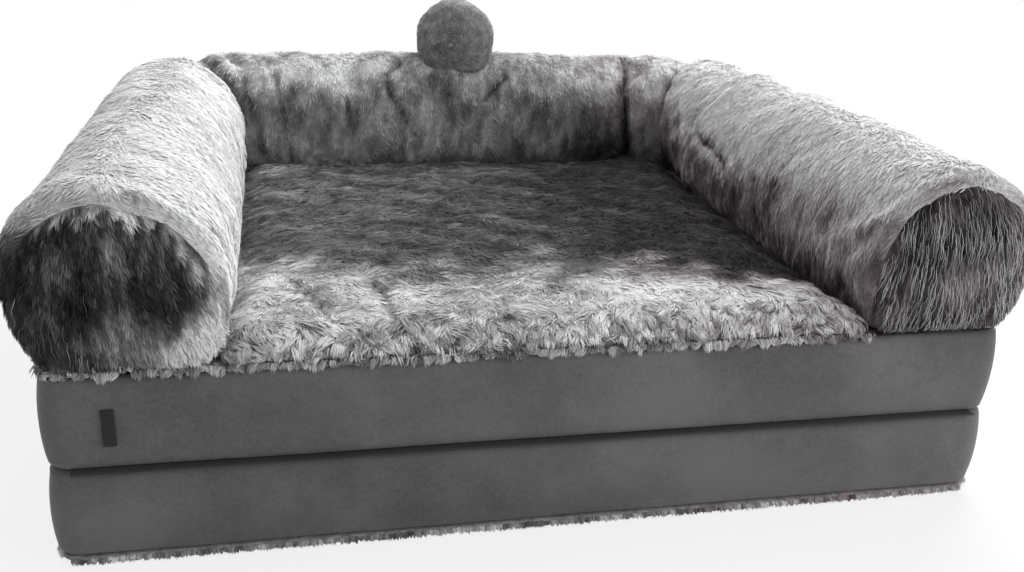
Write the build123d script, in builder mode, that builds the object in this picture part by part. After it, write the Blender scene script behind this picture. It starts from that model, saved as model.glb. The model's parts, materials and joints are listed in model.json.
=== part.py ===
"""A fold-out dog sofa bed, in millimetres.

Two foam mattress layers lie on each other, joined by a fabric hinge along their front edge. The upper
layer carries a U of stuffed plush bolsters, a crowned plush seat pad and a small round head cushion. The
lower layer swings out from under the front through half a turn, so that its plush underside becomes a lying
surface level with the seat. Every cover opens by a zip at the back.

Frame: +X to the right as seen from the front, +Y to the back, +Z up. The origin is on the floor, under the
middle of the whole object.
"""

from build123d import *

import os
from math import asin, degrees, sqrt

# The two mattress layers
base_width = 1000.0
base_depth = 850.0
layer_height = 103.0
layer_gap = 0.4
corner_radius = 28.0
side_draw = 5.0
front_bulge = 3.0
front_clearance = 1.5
cover_wall = 2.5
foam_clearance = 0.3
deck_thickness = 5.0
deck_edge_round = 2.5
underside_thickness = 9.0

# The U of bolsters: a circle flattened where it is sewn down, drawn along both sides and the back
bolster_radius = 97.0
bolster_axis_height = 74.0
bolster_overhang = 20.0
bolster_inner_bend = 9.0
bolster_end_round = 24.0
bolster_end_setback = 1.5
end_panel_depth = 8.0
plush_wall = 3.0
liner_wall = 1.0
fill_clearance = 0.3

# The crowned pad between the bolsters
pad_side_height = 9.0
pad_crown = 16.0
pad_end_run = 30.0
pad_flank_run = 110.0
pad_end_crown = 4.0
pad_front_setback = 5.0
pad_clearance = 4.0
pad_corner_clearance = 3.0
pad_wall = 3.0
pad_fill_clearance = 0.3
pad_end_fill = 1.5

# The round head cushion that stands on the middle of the back
head_radius = 60.0
head_half_thickness = 42.0
head_rise = 30.0
head_forward = 30.0
head_wall = 3.0
head_clearance = 0.3

# The fabric hinge in the front seam
welt_radius = 1.5
welt_clearance = 0.3
hinge_leaf_thickness = 0.9
hinge_leaf_depth = 46.0
hinge_leaf_clearance = 0.2

# The plain tab sewn on the front band
tab_width = 12.0
tab_height = 38.0
tab_thickness = 1.2
tab_corner = 2.0
tab_clearance = 0.1
tab_from_side = 66.0
tab_drop = 5.0

# The zips, all of one section
layer_zip_length = 860.0
bolster_zip_length = 560.0
zip_gap = 1.2
zip_slot_half = 6.0
tape_width = 11.0
tape_thickness = 0.8
tape_end = 6.0
coil_width = 2.2
coil_height = 1.8
stop_length = 2.5
stop_half_width = 3.2
stop_height = 2.2
slider_length = 11.0
slider_half_width = 4.2
slider_plate = 1.0
slider_clearance = 0.3
slider_start = 0.5
slider_web = 0.6
slider_web_length = 3.0
slider_corner = 1.2
bail_radius = 0.7
bail_rise = 2.4
bail_post = 1.2
bail_side_clearance = 0.3
eye_wall = 0.9
eye_clearance = 0.3
eye_width = 4.6
pull_thickness = 1.2
pull_width = 7.0
pull_length = 27.0
pull_neck = 2.4
pull_corner = 2.2
pull_hole_radius = 1.6
pull_hole_from_end = 4.6

overrun = 20.0

# How full each section is on its way to the full size
layer_draw_shares = ((0, 1), (0.5, 0), (1, 1))
bolster_end_shares = ((0, 0.88), (0.36, 0.96), (1, 1))
pad_shoulder_share = 0.5
pad_flank_share = 0.85
head_round_shares = ((-1, 0.42), (-0.7, 0.8), (0, 1), (0.7, 0.8), (1, 0.42))

# Places that follow from the sizes
upper_bottom = layer_height + layer_gap
fold_z = layer_height + layer_gap / 2
deck_top = upper_bottom + layer_height

eye_radius = bail_radius + eye_clearance + eye_wall
bail_stand = tape_thickness + coil_height + slider_clearance + slider_plate + bail_rise
total_depth = (
    welt_radius + front_clearance + base_depth + bolster_overhang + bail_stand + eye_radius
)
fold_y = welt_radius - total_depth / 2
base_front = fold_y + front_clearance
base_rear = base_front + base_depth
bolster_x = base_width / 2 + bolster_overhang - bolster_radius
bolster_y = base_rear + bolster_overhang - bolster_radius
bolster_front = fold_y + bolster_end_setback
bolster_top = deck_top + bolster_axis_height + bolster_radius
bend_x = bolster_x - bolster_radius - bolster_inner_bend
bend_y = bolster_y - bolster_radius - bolster_inner_bend

os.makedirs("parts", exist_ok=True)


def save(part, name):
    """Names a finished piece and writes its file."""
    part.label = name
    export_step(part, f"parts/{name}.step")


# Mattress layers


def layer_block(bottom, inset):
    """One layer, drawn in at its top and bottom edges and fullest at half height, less an inset all round."""
    with BuildPart() as block:
        for height_share, draw_share in layer_draw_shares:
            height = bottom + inset + height_share * (layer_height - 2 * inset)
            front = base_front + front_bulge * draw_share + inset
            rear = base_rear - side_draw * draw_share - inset
            width = base_width - 2 * (side_draw * draw_share + inset)
            with BuildSketch(Plane.XY.offset(height)):
                with Locations((0, (front + rear) / 2)):
                    RectangleRounded(width, rear - front, corner_radius - inset)
        loft()
    return block.part


def slab(bottom, top):
    """A plate wider than the object, for parting a layer at a seam."""
    with BuildPart() as plate:
        with BuildSketch(Plane.XY.offset(bottom)):
            Rectangle(base_width + 2 * overrun, total_depth + 2 * overrun)
        extrude(amount=top - bottom)
    return plate.part


def hinge_rebate(bottom):
    """The shallow recess that takes a hinge leaf, from the front edge backwards."""
    with BuildPart() as rebate:
        depth = hinge_leaf_depth + hinge_leaf_clearance
        with BuildSketch(Plane.XY.offset(bottom)):
            with Locations((0, fold_y + depth / 2)):
                Rectangle(hinge_length + 2 * hinge_leaf_clearance, depth)
        extrude(amount=hinge_leaf_thickness)
    return rebate.part


def zip_slot(rear, height, length):
    """The slit behind a zip, as long as the slider's travel."""
    with BuildPart() as slit:
        with Locations((0, rear, height)):
            Box(length - 2 * stop_length, 2 * overrun, 2 * zip_slot_half)
    return slit.part


hinge_length = base_width - 2 * corner_radius
foam_inset = cover_wall + foam_clearance
deck_bottom = deck_top - deck_thickness
upper_zip_z = upper_bottom + layer_height / 2
lower_zip_z = layer_height / 2

with BuildPart() as upper_cover:
    add(layer_block(upper_bottom, 0))
    add(layer_block(upper_bottom, cover_wall), mode=Mode.SUBTRACT)
    add(slab(deck_bottom, deck_top + overrun), mode=Mode.SUBTRACT)
    add(hinge_rebate(upper_bottom), mode=Mode.SUBTRACT)
    add(zip_slot(base_rear, upper_zip_z, layer_zip_length), mode=Mode.SUBTRACT)
save(upper_cover.part, "upper_cover")

with BuildPart() as seat_deck_plush:
    add(layer_block(upper_bottom, 0))
    add(slab(upper_bottom - overrun, deck_bottom), mode=Mode.SUBTRACT)
    fillet(seat_deck_plush.faces().sort_by(Axis.Z)[-1].edges(), deck_edge_round)
save(seat_deck_plush.part, "seat_deck_plush")

with BuildPart() as upper_foam:
    add(layer_block(upper_bottom, foam_inset))
    add(slab(deck_bottom, deck_top + overrun), mode=Mode.SUBTRACT)
save(upper_foam.part, "upper_foam")

with BuildPart() as lower_cover:
    add(layer_block(0, 0))
    add(layer_block(0, cover_wall), mode=Mode.SUBTRACT)
    add(slab(-overrun, underside_thickness), mode=Mode.SUBTRACT)
    add(hinge_rebate(layer_height - hinge_leaf_thickness), mode=Mode.SUBTRACT)
    add(zip_slot(base_rear, lower_zip_z, layer_zip_length), mode=Mode.SUBTRACT)
save(lower_cover.part, "lower_cover")

with BuildPart() as underside_plush:
    add(layer_block(0, 0))
    add(slab(underside_thickness, layer_height + overrun), mode=Mode.SUBTRACT)
save(underside_plush.part, "underside_plush")

with BuildPart() as lower_foam:
    add(layer_block(0, foam_inset))
    add(slab(-overrun, underside_thickness), mode=Mode.SUBTRACT)
save(lower_foam.part, "lower_foam")


# Fold hinge


def hinge_leaf(bottom):
    """One cloth leaf of the fold hinge, from just behind the welt to its stitching line."""
    with BuildPart() as leaf:
        front = fold_y + welt_radius + welt_clearance
        rear = fold_y + hinge_leaf_depth
        with BuildSketch(Plane.XY.offset(bottom)):
            with Locations((0, (front + rear) / 2)):
                Rectangle(hinge_length, rear - front)
        extrude(amount=hinge_leaf_thickness)
    return leaf.part


save(hinge_leaf(upper_bottom), "fold_hinge_upper_leaf")
save(hinge_leaf(layer_height - hinge_leaf_thickness), "fold_hinge_lower_leaf")

with BuildPart() as fold_hinge_welt:
    with Locations((0, fold_y, fold_z)):
        Cylinder(welt_radius, hinge_length, rotation=(0, 90, 0))
save(fold_hinge_welt.part, "fold_hinge_welt")

# Side tab

with BuildPart() as side_tab:
    tab_x = tab_from_side - base_width / 2
    tab_back = Plane.XZ.offset(tab_clearance - base_front)
    with BuildSketch(tab_back):
        with Locations((tab_x, upper_bottom + layer_height / 2 - tab_drop)):
            RectangleRounded(tab_width, tab_height, tab_corner)
    extrude(amount=tab_thickness)
save(side_tab.part, "side_tab")


# Bolsters


def bolster_section(size_share, inset):
    """The section of a bolster: a circle cut flat at the deck, drawn in three equal arcs."""
    radius = size_share * bolster_radius - inset
    height = size_share * bolster_axis_height
    dip = degrees(asin((height - inset) / radius))
    foot = sqrt(radius**2 - (height - inset) ** 2)
    with BuildSketch() as section:
        with BuildLine():
            Line((-foot, inset), (foot, inset))
            for arc in range(3):
                sweep_angle = (180 + 2 * dip) / 3
                CenterArc((0, height), radius, arc * sweep_angle - dip, sweep_angle)
        make_face()
    return section.sketch


def arm_plane(y):
    """A plane across the right arm, looking forward."""
    return Plane(origin=(bolster_x, y, deck_top), x_dir=(1, 0, 0), z_dir=(0, -1, 0))


def right_arm_block(inset):
    """The right arm with its rounded front end and the whole bend to the back, less an inset all round."""
    with BuildPart() as block:
        for run_share, size_share in bolster_end_shares:
            end_y = bolster_front + inset + run_share * (bolster_end_round - inset)
            with BuildSketch(arm_plane(end_y)):
                add(bolster_section(size_share, inset))
        loft()
        with BuildSketch(arm_plane(bend_y)):
            add(bolster_section(1, inset))
        extrude(amount=bend_y - bolster_front - bolster_end_round)
        with BuildSketch(arm_plane(bend_y)):
            add(bolster_section(1, inset))
        revolve(axis=Axis((bend_x, bend_y, 0), (0, 0, 1)), revolution_arc=90)
    return block.part


def back_block(inset):
    """The back with both whole bends, less an inset all round."""
    with BuildPart() as block:
        with BuildSketch(Plane(origin=(bend_x, bolster_y, deck_top), x_dir=(0, 1, 0), z_dir=(1, 0, 0))):
            add(bolster_section(1, inset))
        extrude(amount=-2 * bend_x)
        with BuildSketch(arm_plane(bend_y)):
            add(bolster_section(1, inset))
        revolve(axis=Axis((bend_x, bend_y, 0), (0, 0, 1)), revolution_arc=90)
        with BuildSketch(arm_plane(bend_y).move(Location((-2 * bolster_x, 0, 0)))):
            add(bolster_section(1, inset))
        revolve(axis=Axis((-bend_x, bend_y, 0), (0, 0, 1)), revolution_arc=-90)
    return block.part


def mitre(side, inset):
    """The upright seam plane of a corner, facing the back, moved into the arm or the back by an inset."""
    seam = Plane(origin=(side * bend_x, bend_y, 0), x_dir=(0, 0, 1), z_dir=(-side, 1, 0))
    return seam.offset(inset)


def front_slab(depth):
    """A plate in front of a plane across both arms, for parting the end panels."""
    with BuildPart() as plate:
        with Locations((0, bolster_front + depth - overrun / 2, bolster_top - bolster_radius)):
            Box(base_width + 4 * overrun, overrun, 4 * bolster_radius)
    return plate.part


bag_inset = plush_wall + fill_clearance
fill_inset = bag_inset + liner_wall + fill_clearance

with BuildPart() as right_arm_cover:
    add(right_arm_block(0))
    add(right_arm_block(plush_wall), mode=Mode.SUBTRACT)
    add(front_slab(end_panel_depth), mode=Mode.SUBTRACT)
    split(bisect_by=mitre(1, 0), keep=Keep.BOTTOM)

with BuildPart() as right_arm_end_panel:
    add(right_arm_block(0))
    add(right_arm_block(plush_wall), mode=Mode.SUBTRACT)
    add(front_slab(end_panel_depth), mode=Mode.INTERSECT)

with BuildPart() as right_arm_bag_space:
    add(right_arm_block(bag_inset + liner_wall))
    split(bisect_by=mitre(1, -fill_clearance - liner_wall), keep=Keep.BOTTOM)

with BuildPart() as right_arm_liner:
    add(right_arm_block(bag_inset))
    split(bisect_by=mitre(1, -fill_clearance), keep=Keep.BOTTOM)
    add(right_arm_bag_space.part, mode=Mode.SUBTRACT)

with BuildPart() as right_arm_fill:
    add(right_arm_block(fill_inset))
    split(bisect_by=mitre(1, -2 * fill_clearance - liner_wall), keep=Keep.BOTTOM)

arm_pieces = {
    "arm_cover": right_arm_cover.part,
    "arm_end_panel": right_arm_end_panel.part,
    "arm_liner": right_arm_liner.part,
    "arm_fill": right_arm_fill.part,
}
for arm_name, arm_piece in arm_pieces.items():
    save(arm_piece, f"right_{arm_name}")
    save(mirror(arm_piece, about=Plane.YZ), f"left_{arm_name}")

bolster_zip_z = deck_top + bolster_axis_height

with BuildPart() as back_cover:
    add(back_block(0))
    add(back_block(plush_wall), mode=Mode.SUBTRACT)
    split(bisect_by=mitre(1, 0), keep=Keep.TOP)
    split(bisect_by=mitre(-1, 0), keep=Keep.TOP)
    add(zip_slot(bolster_y + bolster_radius, bolster_zip_z, bolster_zip_length), mode=Mode.SUBTRACT)
save(back_cover.part, "back_cover")

with BuildPart() as back_bag_space:
    add(back_block(bag_inset + liner_wall))
    split(bisect_by=mitre(1, fill_clearance + liner_wall), keep=Keep.TOP)
    split(bisect_by=mitre(-1, fill_clearance + liner_wall), keep=Keep.TOP)

with BuildPart() as back_liner:
    add(back_block(bag_inset))
    split(bisect_by=mitre(1, fill_clearance), keep=Keep.TOP)
    split(bisect_by=mitre(-1, fill_clearance), keep=Keep.TOP)
    add(back_bag_space.part, mode=Mode.SUBTRACT)
save(back_liner.part, "back_liner")

with BuildPart() as back_fill:
    add(back_block(fill_inset))
    split(bisect_by=mitre(1, 2 * fill_clearance + liner_wall), keep=Keep.TOP)
    split(bisect_by=mitre(-1, 2 * fill_clearance + liner_wall), keep=Keep.TOP)
save(back_fill.part, "back_fill")


# Seat pad


def pad_corner_waste(inset):
    """What the rear corners leave off, so that they follow the inner bends of the bolsters."""
    with BuildPart() as waste:
        size = pad_corner + overrun
        height = 2 * (pad_side_height + pad_crown + overrun)
        with Locations(*[(side * (bend_x + size / 2), bend_y + size / 2, deck_top) for side in (-1, 1)]):
            Box(size, size, height)
        with Locations(*[(side * bend_x, bend_y, deck_top) for side in (-1, 1)]):
            Cylinder(pad_corner - inset, height, mode=Mode.SUBTRACT)
    return waste.part


def pad_block(inset, floor):
    """The crowned pad, lofted from its low front edge to its low rear edge and rounded at its corners."""
    stations = (
        (pad_front + inset, 0),
        (pad_front + pad_end_run, pad_shoulder_share),
        (pad_front + pad_flank_run, pad_flank_share),
        ((pad_front + pad_rear) / 2, 1),
        (pad_rear - pad_flank_run, pad_flank_share),
        (pad_rear - pad_end_run, pad_shoulder_share),
        (pad_rear - inset, 0),
    )
    half_width = pad_half_width - inset
    with BuildPart() as block:
        for y, rise_share in stations:
            side = pad_end_height + rise_share * (pad_side_height - pad_end_height) - inset
            crown = side + pad_end_crown + rise_share * (pad_crown - pad_end_crown)
            with BuildSketch(Plane(origin=(0, y, deck_top), x_dir=(1, 0, 0), z_dir=(0, -1, 0))):
                with BuildLine():
                    Polyline((-half_width, side), (-half_width, floor), (half_width, floor), (half_width, side))
                    ThreePointArc((half_width, side), (0, crown), (-half_width, side))
                make_face()
        loft()
        add(pad_corner_waste(inset), mode=Mode.SUBTRACT)
    return block.part


pad_end_height = pad_wall + pad_fill_clearance + pad_end_fill
side_reach = sqrt(bolster_radius**2 - (bolster_axis_height - pad_side_height) ** 2)
pad_half_width = bolster_x - side_reach - pad_clearance
pad_front = fold_y + pad_front_setback
pad_rear = bolster_y - side_reach - pad_clearance
pad_corner = bolster_x - side_reach - pad_corner_clearance - bend_x

with BuildPart() as seat_pad_cover:
    add(pad_block(0, 0))
    add(pad_block(pad_wall, -overrun), mode=Mode.SUBTRACT)
save(seat_pad_cover.part, "seat_pad_cover")

with BuildPart() as seat_pad_fill:
    add(pad_block(pad_wall + pad_fill_clearance, 0))
save(seat_pad_fill.part, "seat_pad_fill")

# Head cushion

head_y = bolster_y - head_forward
head_z = bolster_top + head_rise


def head_block(inset, seat_gap):
    """The stuffed disc of the head cushion, less an inset, hollowed below where it sits on the back."""
    with BuildPart() as block:
        for depth_share, size_share in head_round_shares:
            y = head_y - depth_share * (head_half_thickness - inset)
            with BuildSketch(Plane(origin=(0, y, head_z), x_dir=(1, 0, 0), z_dir=(0, -1, 0))):
                Circle(size_share * (head_radius - inset))
        loft()
        with Locations((0, bolster_y, bolster_top - bolster_radius)):
            Cylinder(
                bolster_radius + seat_gap, 4 * head_radius, rotation=(0, 90, 0), mode=Mode.SUBTRACT
            )
    return block.part


with BuildPart() as headrest_cover:
    add(head_block(0, head_clearance))
    add(head_block(head_wall, head_clearance + head_wall), mode=Mode.SUBTRACT)
save(headrest_cover.part, "headrest_cover")

fill_gap = head_wall + fill_clearance

with BuildPart() as headrest_fill:
    add(head_block(fill_gap, head_clearance + fill_gap))
save(headrest_fill.part, "headrest_fill")


# Zips


def zip_pieces(length, rear, height):
    """The tapes, coils, stops, slider and pull of one zip that lies along a rear face."""
    coil_level = rear + tape_thickness
    roof_level = coil_level + coil_height + slider_clearance
    bar_level = rear + bail_stand
    slider_x = slider_start + stop_length + (slider_length - length) / 2
    tape_y = rear + tape_thickness / 2
    coil_y = coil_level + coil_height / 2
    stop_y = coil_level + stop_height / 2
    stop_x = (length - stop_length) / 2
    tape_z = (zip_gap + tape_width) / 2
    coil_z = (zip_gap + coil_width) / 2
    flange_z = slider_half_width - slider_plate / 2
    flange_low = coil_level + slider_clearance
    bail_span = eye_width + 2 * (bail_side_clearance + bail_post)

    with BuildPart() as tapes:
        with Locations((0, tape_y, height - tape_z), (0, tape_y, height + tape_z)):
            Box(length + 2 * tape_end, tape_thickness, tape_width)

    with BuildPart() as coils:
        with Locations((0, coil_y, height - coil_z), (0, coil_y, height + coil_z)):
            Box(length - 2 * stop_length, coil_height, coil_width)

    with BuildPart() as stops:
        with Locations((-stop_x, stop_y, height), (stop_x, stop_y, height)):
            Box(stop_length, stop_height, 2 * stop_half_width)

    with BuildPart() as slider:
        with Locations((slider_x, roof_level + slider_plate / 2, height)):
            Box(slider_length, slider_plate, 2 * slider_half_width)
        with Locations((slider_x, rear - slider_clearance - slider_plate / 2, height)):
            Box(slider_length, slider_plate, 2 * slider_half_width)
        fillet(slider.edges().filter_by(Axis.Y), slider_corner)
        web_low = rear - slider_clearance
        web_x = slider_x - (slider_length - slider_web_length) / 2
        with Locations((web_x, (web_low + roof_level) / 2, height)):
            Box(slider_web_length, roof_level - web_low, slider_web)
        flange_places = [(slider_x, (flange_low + roof_level) / 2, height + z) for z in (-flange_z, flange_z)]
        with Locations(*flange_places):
            Box(slider_length - 2 * slider_corner, roof_level - flange_low, slider_plate)
        post_x = (bail_span - bail_post) / 2
        post_low = roof_level + slider_plate
        post_height = bar_level + bail_radius - post_low
        post_places = [(slider_x + x, post_low + post_height / 2, height) for x in (-post_x, post_x)]
        with Locations(*post_places):
            Box(bail_post, post_height, 2 * bail_radius)
        with Locations((slider_x, bar_level, height)):
            Cylinder(bail_radius, bail_span, rotation=(0, 90, 0))

    with BuildPart() as pull:
        with Locations((slider_x, bar_level, height)):
            Cylinder(eye_radius, eye_width, rotation=(0, 90, 0))
        blade_top = eye_radius + pull_neck
        with BuildSketch(Plane.XZ.offset(-bar_level)):
            blade_length = pull_length - blade_top
            with Locations((slider_x, height - blade_top - blade_length / 2)):
                RectangleRounded(pull_width, blade_length, pull_corner)
            with Locations((slider_x, height)):
                Rectangle(eye_width, blade_top + pull_corner, align=(Align.CENTER, Align.MAX))
            with Locations((slider_x, height - pull_length + pull_hole_from_end)):
                Circle(pull_hole_radius, mode=Mode.SUBTRACT)
        extrude(amount=pull_thickness / 2, both=True)
        with Locations((slider_x, bar_level, height)):
            Cylinder(
                bail_radius + eye_clearance, 2 * eye_width, rotation=(0, 90, 0), mode=Mode.SUBTRACT
            )

    return {
        "tapes": tapes.part,
        "coils": coils.part,
        "stops": stops.part,
        "slider": slider.part,
        "pull": pull.part,
    }


zips = {
    "lower_zip": (layer_zip_length, base_rear, lower_zip_z),
    "upper_zip": (layer_zip_length, base_rear, upper_zip_z),
    "bolster_zip": (bolster_zip_length, bolster_y + bolster_radius, bolster_zip_z),
}
for zip_name, zip_place in zips.items():
    for piece_name, zip_piece in zip_pieces(*zip_place).items():
        save(zip_piece, f"{zip_name}_{piece_name}")
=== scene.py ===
"""The looks of a fold-out dog sofa bed: suede bands, plush bolsters with a pile of real strands, and zips.

Metres, +X to the right as seen from the front, +Y to the back, +Z up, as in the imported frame.
"""

import json
from math import cos, pi, radians, sin, sqrt

import bmesh
import bpy
import numpy as np
from mathutils import Matrix, Vector, kdtree
from mathutils.bvhtree import BVHTree


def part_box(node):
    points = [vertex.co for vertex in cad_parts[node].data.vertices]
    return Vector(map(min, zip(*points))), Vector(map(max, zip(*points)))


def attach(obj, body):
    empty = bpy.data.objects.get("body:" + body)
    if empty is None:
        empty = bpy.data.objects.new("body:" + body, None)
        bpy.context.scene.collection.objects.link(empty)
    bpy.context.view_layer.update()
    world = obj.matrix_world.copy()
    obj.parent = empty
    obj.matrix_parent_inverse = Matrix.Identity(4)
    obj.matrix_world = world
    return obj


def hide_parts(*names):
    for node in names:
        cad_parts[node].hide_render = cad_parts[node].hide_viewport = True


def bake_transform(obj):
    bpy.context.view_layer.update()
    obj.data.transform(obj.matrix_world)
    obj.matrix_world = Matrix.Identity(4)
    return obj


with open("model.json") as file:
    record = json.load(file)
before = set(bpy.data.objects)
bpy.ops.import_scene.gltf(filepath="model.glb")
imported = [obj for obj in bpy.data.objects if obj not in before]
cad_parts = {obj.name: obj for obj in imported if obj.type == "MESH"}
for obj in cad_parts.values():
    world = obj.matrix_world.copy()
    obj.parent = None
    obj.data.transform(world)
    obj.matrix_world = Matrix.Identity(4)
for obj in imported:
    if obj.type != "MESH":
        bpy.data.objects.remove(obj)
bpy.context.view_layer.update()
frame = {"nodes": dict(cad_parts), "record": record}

MM = 0.001

# Places, from the frame
deck_low, deck_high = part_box("seat_deck_plush")
upper_low, upper_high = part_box("upper_cover")
lower_low, lower_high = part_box("lower_cover")
under_low, under_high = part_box("underside_plush")
pad_low, pad_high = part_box("seat_pad_cover")
arm_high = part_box("right_arm_cover")[1]
panel_low, panel_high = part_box("right_arm_end_panel")
back_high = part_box("back_cover")[1]
head_low, head_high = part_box("headrest_cover")
welt_low, welt_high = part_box("fold_hinge_welt")
leaf_low, leaf_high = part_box("fold_hinge_upper_leaf")
tab_low, tab_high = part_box("side_tab")

deck_top = deck_high.z
bolster_radius = 97 * MM
bolster_axis_height = arm_high.z - deck_top - bolster_radius
bolster_x = arm_high.x - bolster_radius
bolster_y = back_high.y - bolster_radius
bolster_axis_z = deck_top + bolster_axis_height
inner_bend = 9 * MM
bend = bolster_radius + inner_bend
bend_x = bolster_x - bend
bend_y = bolster_y - bend
bolster_front = panel_low.y
panel_seam_y = panel_high.y
fold_y, fold_z = welt_low.y + (welt_high.y - welt_low.y) / 2, (welt_low.z + welt_high.z) / 2
head_y, head_z = (head_low.y + head_high.y) / 2, head_high.z - (head_high.x - head_low.x) / 2


# Meshes


def mesh_object(name, points, faces):
    """A smooth mesh object from rows of points and faces, given as one array or as tuples of mixed length."""
    mesh = bpy.data.meshes.new(name)
    points = np.asarray(points, np.float32)
    if isinstance(faces, np.ndarray):
        counts = np.full(len(faces), faces.shape[1], np.int32)
        corners = faces.astype(np.int32).ravel()
    else:
        counts = np.array([len(f) for f in faces], np.int32)
        corners = np.array([c for f in faces for c in f], np.int32)
    mesh.vertices.add(len(points))
    mesh.vertices.foreach_set("co", points.ravel())
    mesh.loops.add(len(corners))
    mesh.loops.foreach_set("vertex_index", corners)
    mesh.polygons.add(len(counts))
    starts = np.concatenate(([0], np.cumsum(counts)[:-1])).astype(np.int32)
    mesh.polygons.foreach_set("loop_start", starts)
    mesh.polygons.foreach_set("use_smooth", np.full(len(counts), True))
    mesh.update(calc_edges=True)
    mesh.validate()
    obj = bpy.data.objects.new(name, mesh)
    bpy.context.scene.collection.objects.link(obj)
    return obj


def rows_of(items, name):
    """A vector of each item of a mesh, as rows."""
    values = np.zeros(len(items) * 3)
    items.foreach_get(name, values)
    return values.reshape(-1, 3)


def points_of(obj):
    """The points of an object's mesh, as rows."""
    return rows_of(obj.data.vertices, "co")


def set_points(obj, points):
    """Writes rows of points back to a mesh."""
    obj.data.vertices.foreach_set("co", np.asarray(points, np.float32).ravel())
    obj.data.update()


def point_normals(obj):
    """Each point's normal, as rows."""
    return rows_of(obj.data.vertices, "normal")


def surface_of(obj):
    """A mesh as a surface on which the nearest place can be looked up."""
    points = [tuple(p) for p in points_of(obj)]
    return BVHTree.FromPolygons(points, [tuple(p.vertices) for p in obj.data.polygons])


def unit(rows):
    """Rows scaled to length one."""
    return rows / np.maximum(np.linalg.norm(rows, axis=-1, keepdims=True), 1e-9)


def step(low, high, values):
    """A smooth rise from 0 at low to 1 at high."""
    share = np.clip((values - low) / (high - low), 0, 1)
    return share * share * (3 - 2 * share)


def waves(points, size, seed, terms=12):
    """Smooth seeded unevenness with bumps about one size long, mostly from -1 to 1."""
    rng = np.random.default_rng(seed)
    total = np.zeros(len(points))
    for _ in range(terms):
        direction = unit(rng.normal(size=3))
        length = size * rng.uniform(0.7, 1.7)
        total += np.sin(points @ direction * 2 * pi / length + rng.uniform(0, 2 * pi))
    return total * 1.2 / sqrt(terms)


def roughen(obj, heights, seed, weight=None):
    """Moves points along their normals by the sum of waves given as (size, height)."""
    co = points_of(obj)
    lift = sum(height * waves(co, size, seed + k) for k, (size, height) in enumerate(heights))
    if weight is not None:
        lift = lift * weight(co)
    set_points(obj, co + point_normals(obj) * lift[:, None])


def dent(obj, depth, where):
    """Moves points inward by a depth, weighed by a function of the points."""
    co = points_of(obj)
    set_points(obj, co - point_normals(obj) * (depth * where(co))[:, None])


def swept(name, stations):
    """A closed body through rings of points, capped at both ends."""
    rings, size = len(stations), len(stations[0])
    faces = []
    for ring in range(rings - 1):
        for k in range(size):
            n = (k + 1) % size
            low, high = ring * size, (ring + 1) * size
            faces.append((low + k, low + n, high + n, high + k))
    faces.append(tuple(range(size - 1, -1, -1)))
    faces.append(tuple(range((rings - 1) * size, rings * size)))
    return mesh_object(name, np.concatenate(stations), faces)


def tube(name, line, radius, sides=6):
    """A round cord along rows of points."""
    ahead = np.roll(line, -1, 0) - np.roll(line, 1, 0)
    ahead[0], ahead[-1] = line[1] - line[0], line[-1] - line[-2]
    ahead = unit(ahead)
    side = unit(np.cross(ahead, (0.13, 0.21, 0.97)))
    other = np.cross(ahead, side)
    angles = np.arange(sides) * 2 * pi / sides
    return swept(name, line[:, None] + radius * (
        side[:, None] * np.cos(angles)[None, :, None] + other[:, None] * np.sin(angles)[None, :, None]
    ))


def sheet_faces(rows, columns):
    """The faces of a sheet whose points run in rows."""
    faces = []
    for j in range(rows - 1):
        for a in range(j * columns, (j + 1) * columns - 1):
            faces.append((a, a + 1, a + columns + 1, a + columns))
    return faces


def give_attribute(obj, name, values):
    """A number on each point, for the materials."""
    attribute = obj.data.attributes.new(name, "FLOAT", "POINT")
    attribute.data.foreach_set("value", np.asarray(values, np.float32))


def cut_across(obj, y):
    """Splits a mesh's faces where they cross a plane at y."""
    cut = bmesh.new()
    cut.from_mesh(obj.data)
    everything = cut.verts[:] + cut.edges[:] + cut.faces[:]
    bmesh.ops.bisect_plane(cut, geom=everything, plane_co=(0, y, 0), plane_no=(0, 1, 0), dist=0.1 * MM)
    cut.to_mesh(obj.data)
    cut.free()
    obj.data.update()


def only_faces(obj, keep, name):
    """A new object of the faces whose centres keep accepts."""
    mesh = obj.data
    chosen = keep(rows_of(mesh.polygons, "center"))
    faces = [tuple(p.vertices) for p, wanted in zip(mesh.polygons, chosen) if wanted]
    used = sorted({v for face in faces for v in face})
    place = {v: k for k, v in enumerate(used)}
    return mesh_object(name, points_of(obj)[used], [tuple(place[v] for v in face) for face in faces])


cloth_frames = 20


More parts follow.
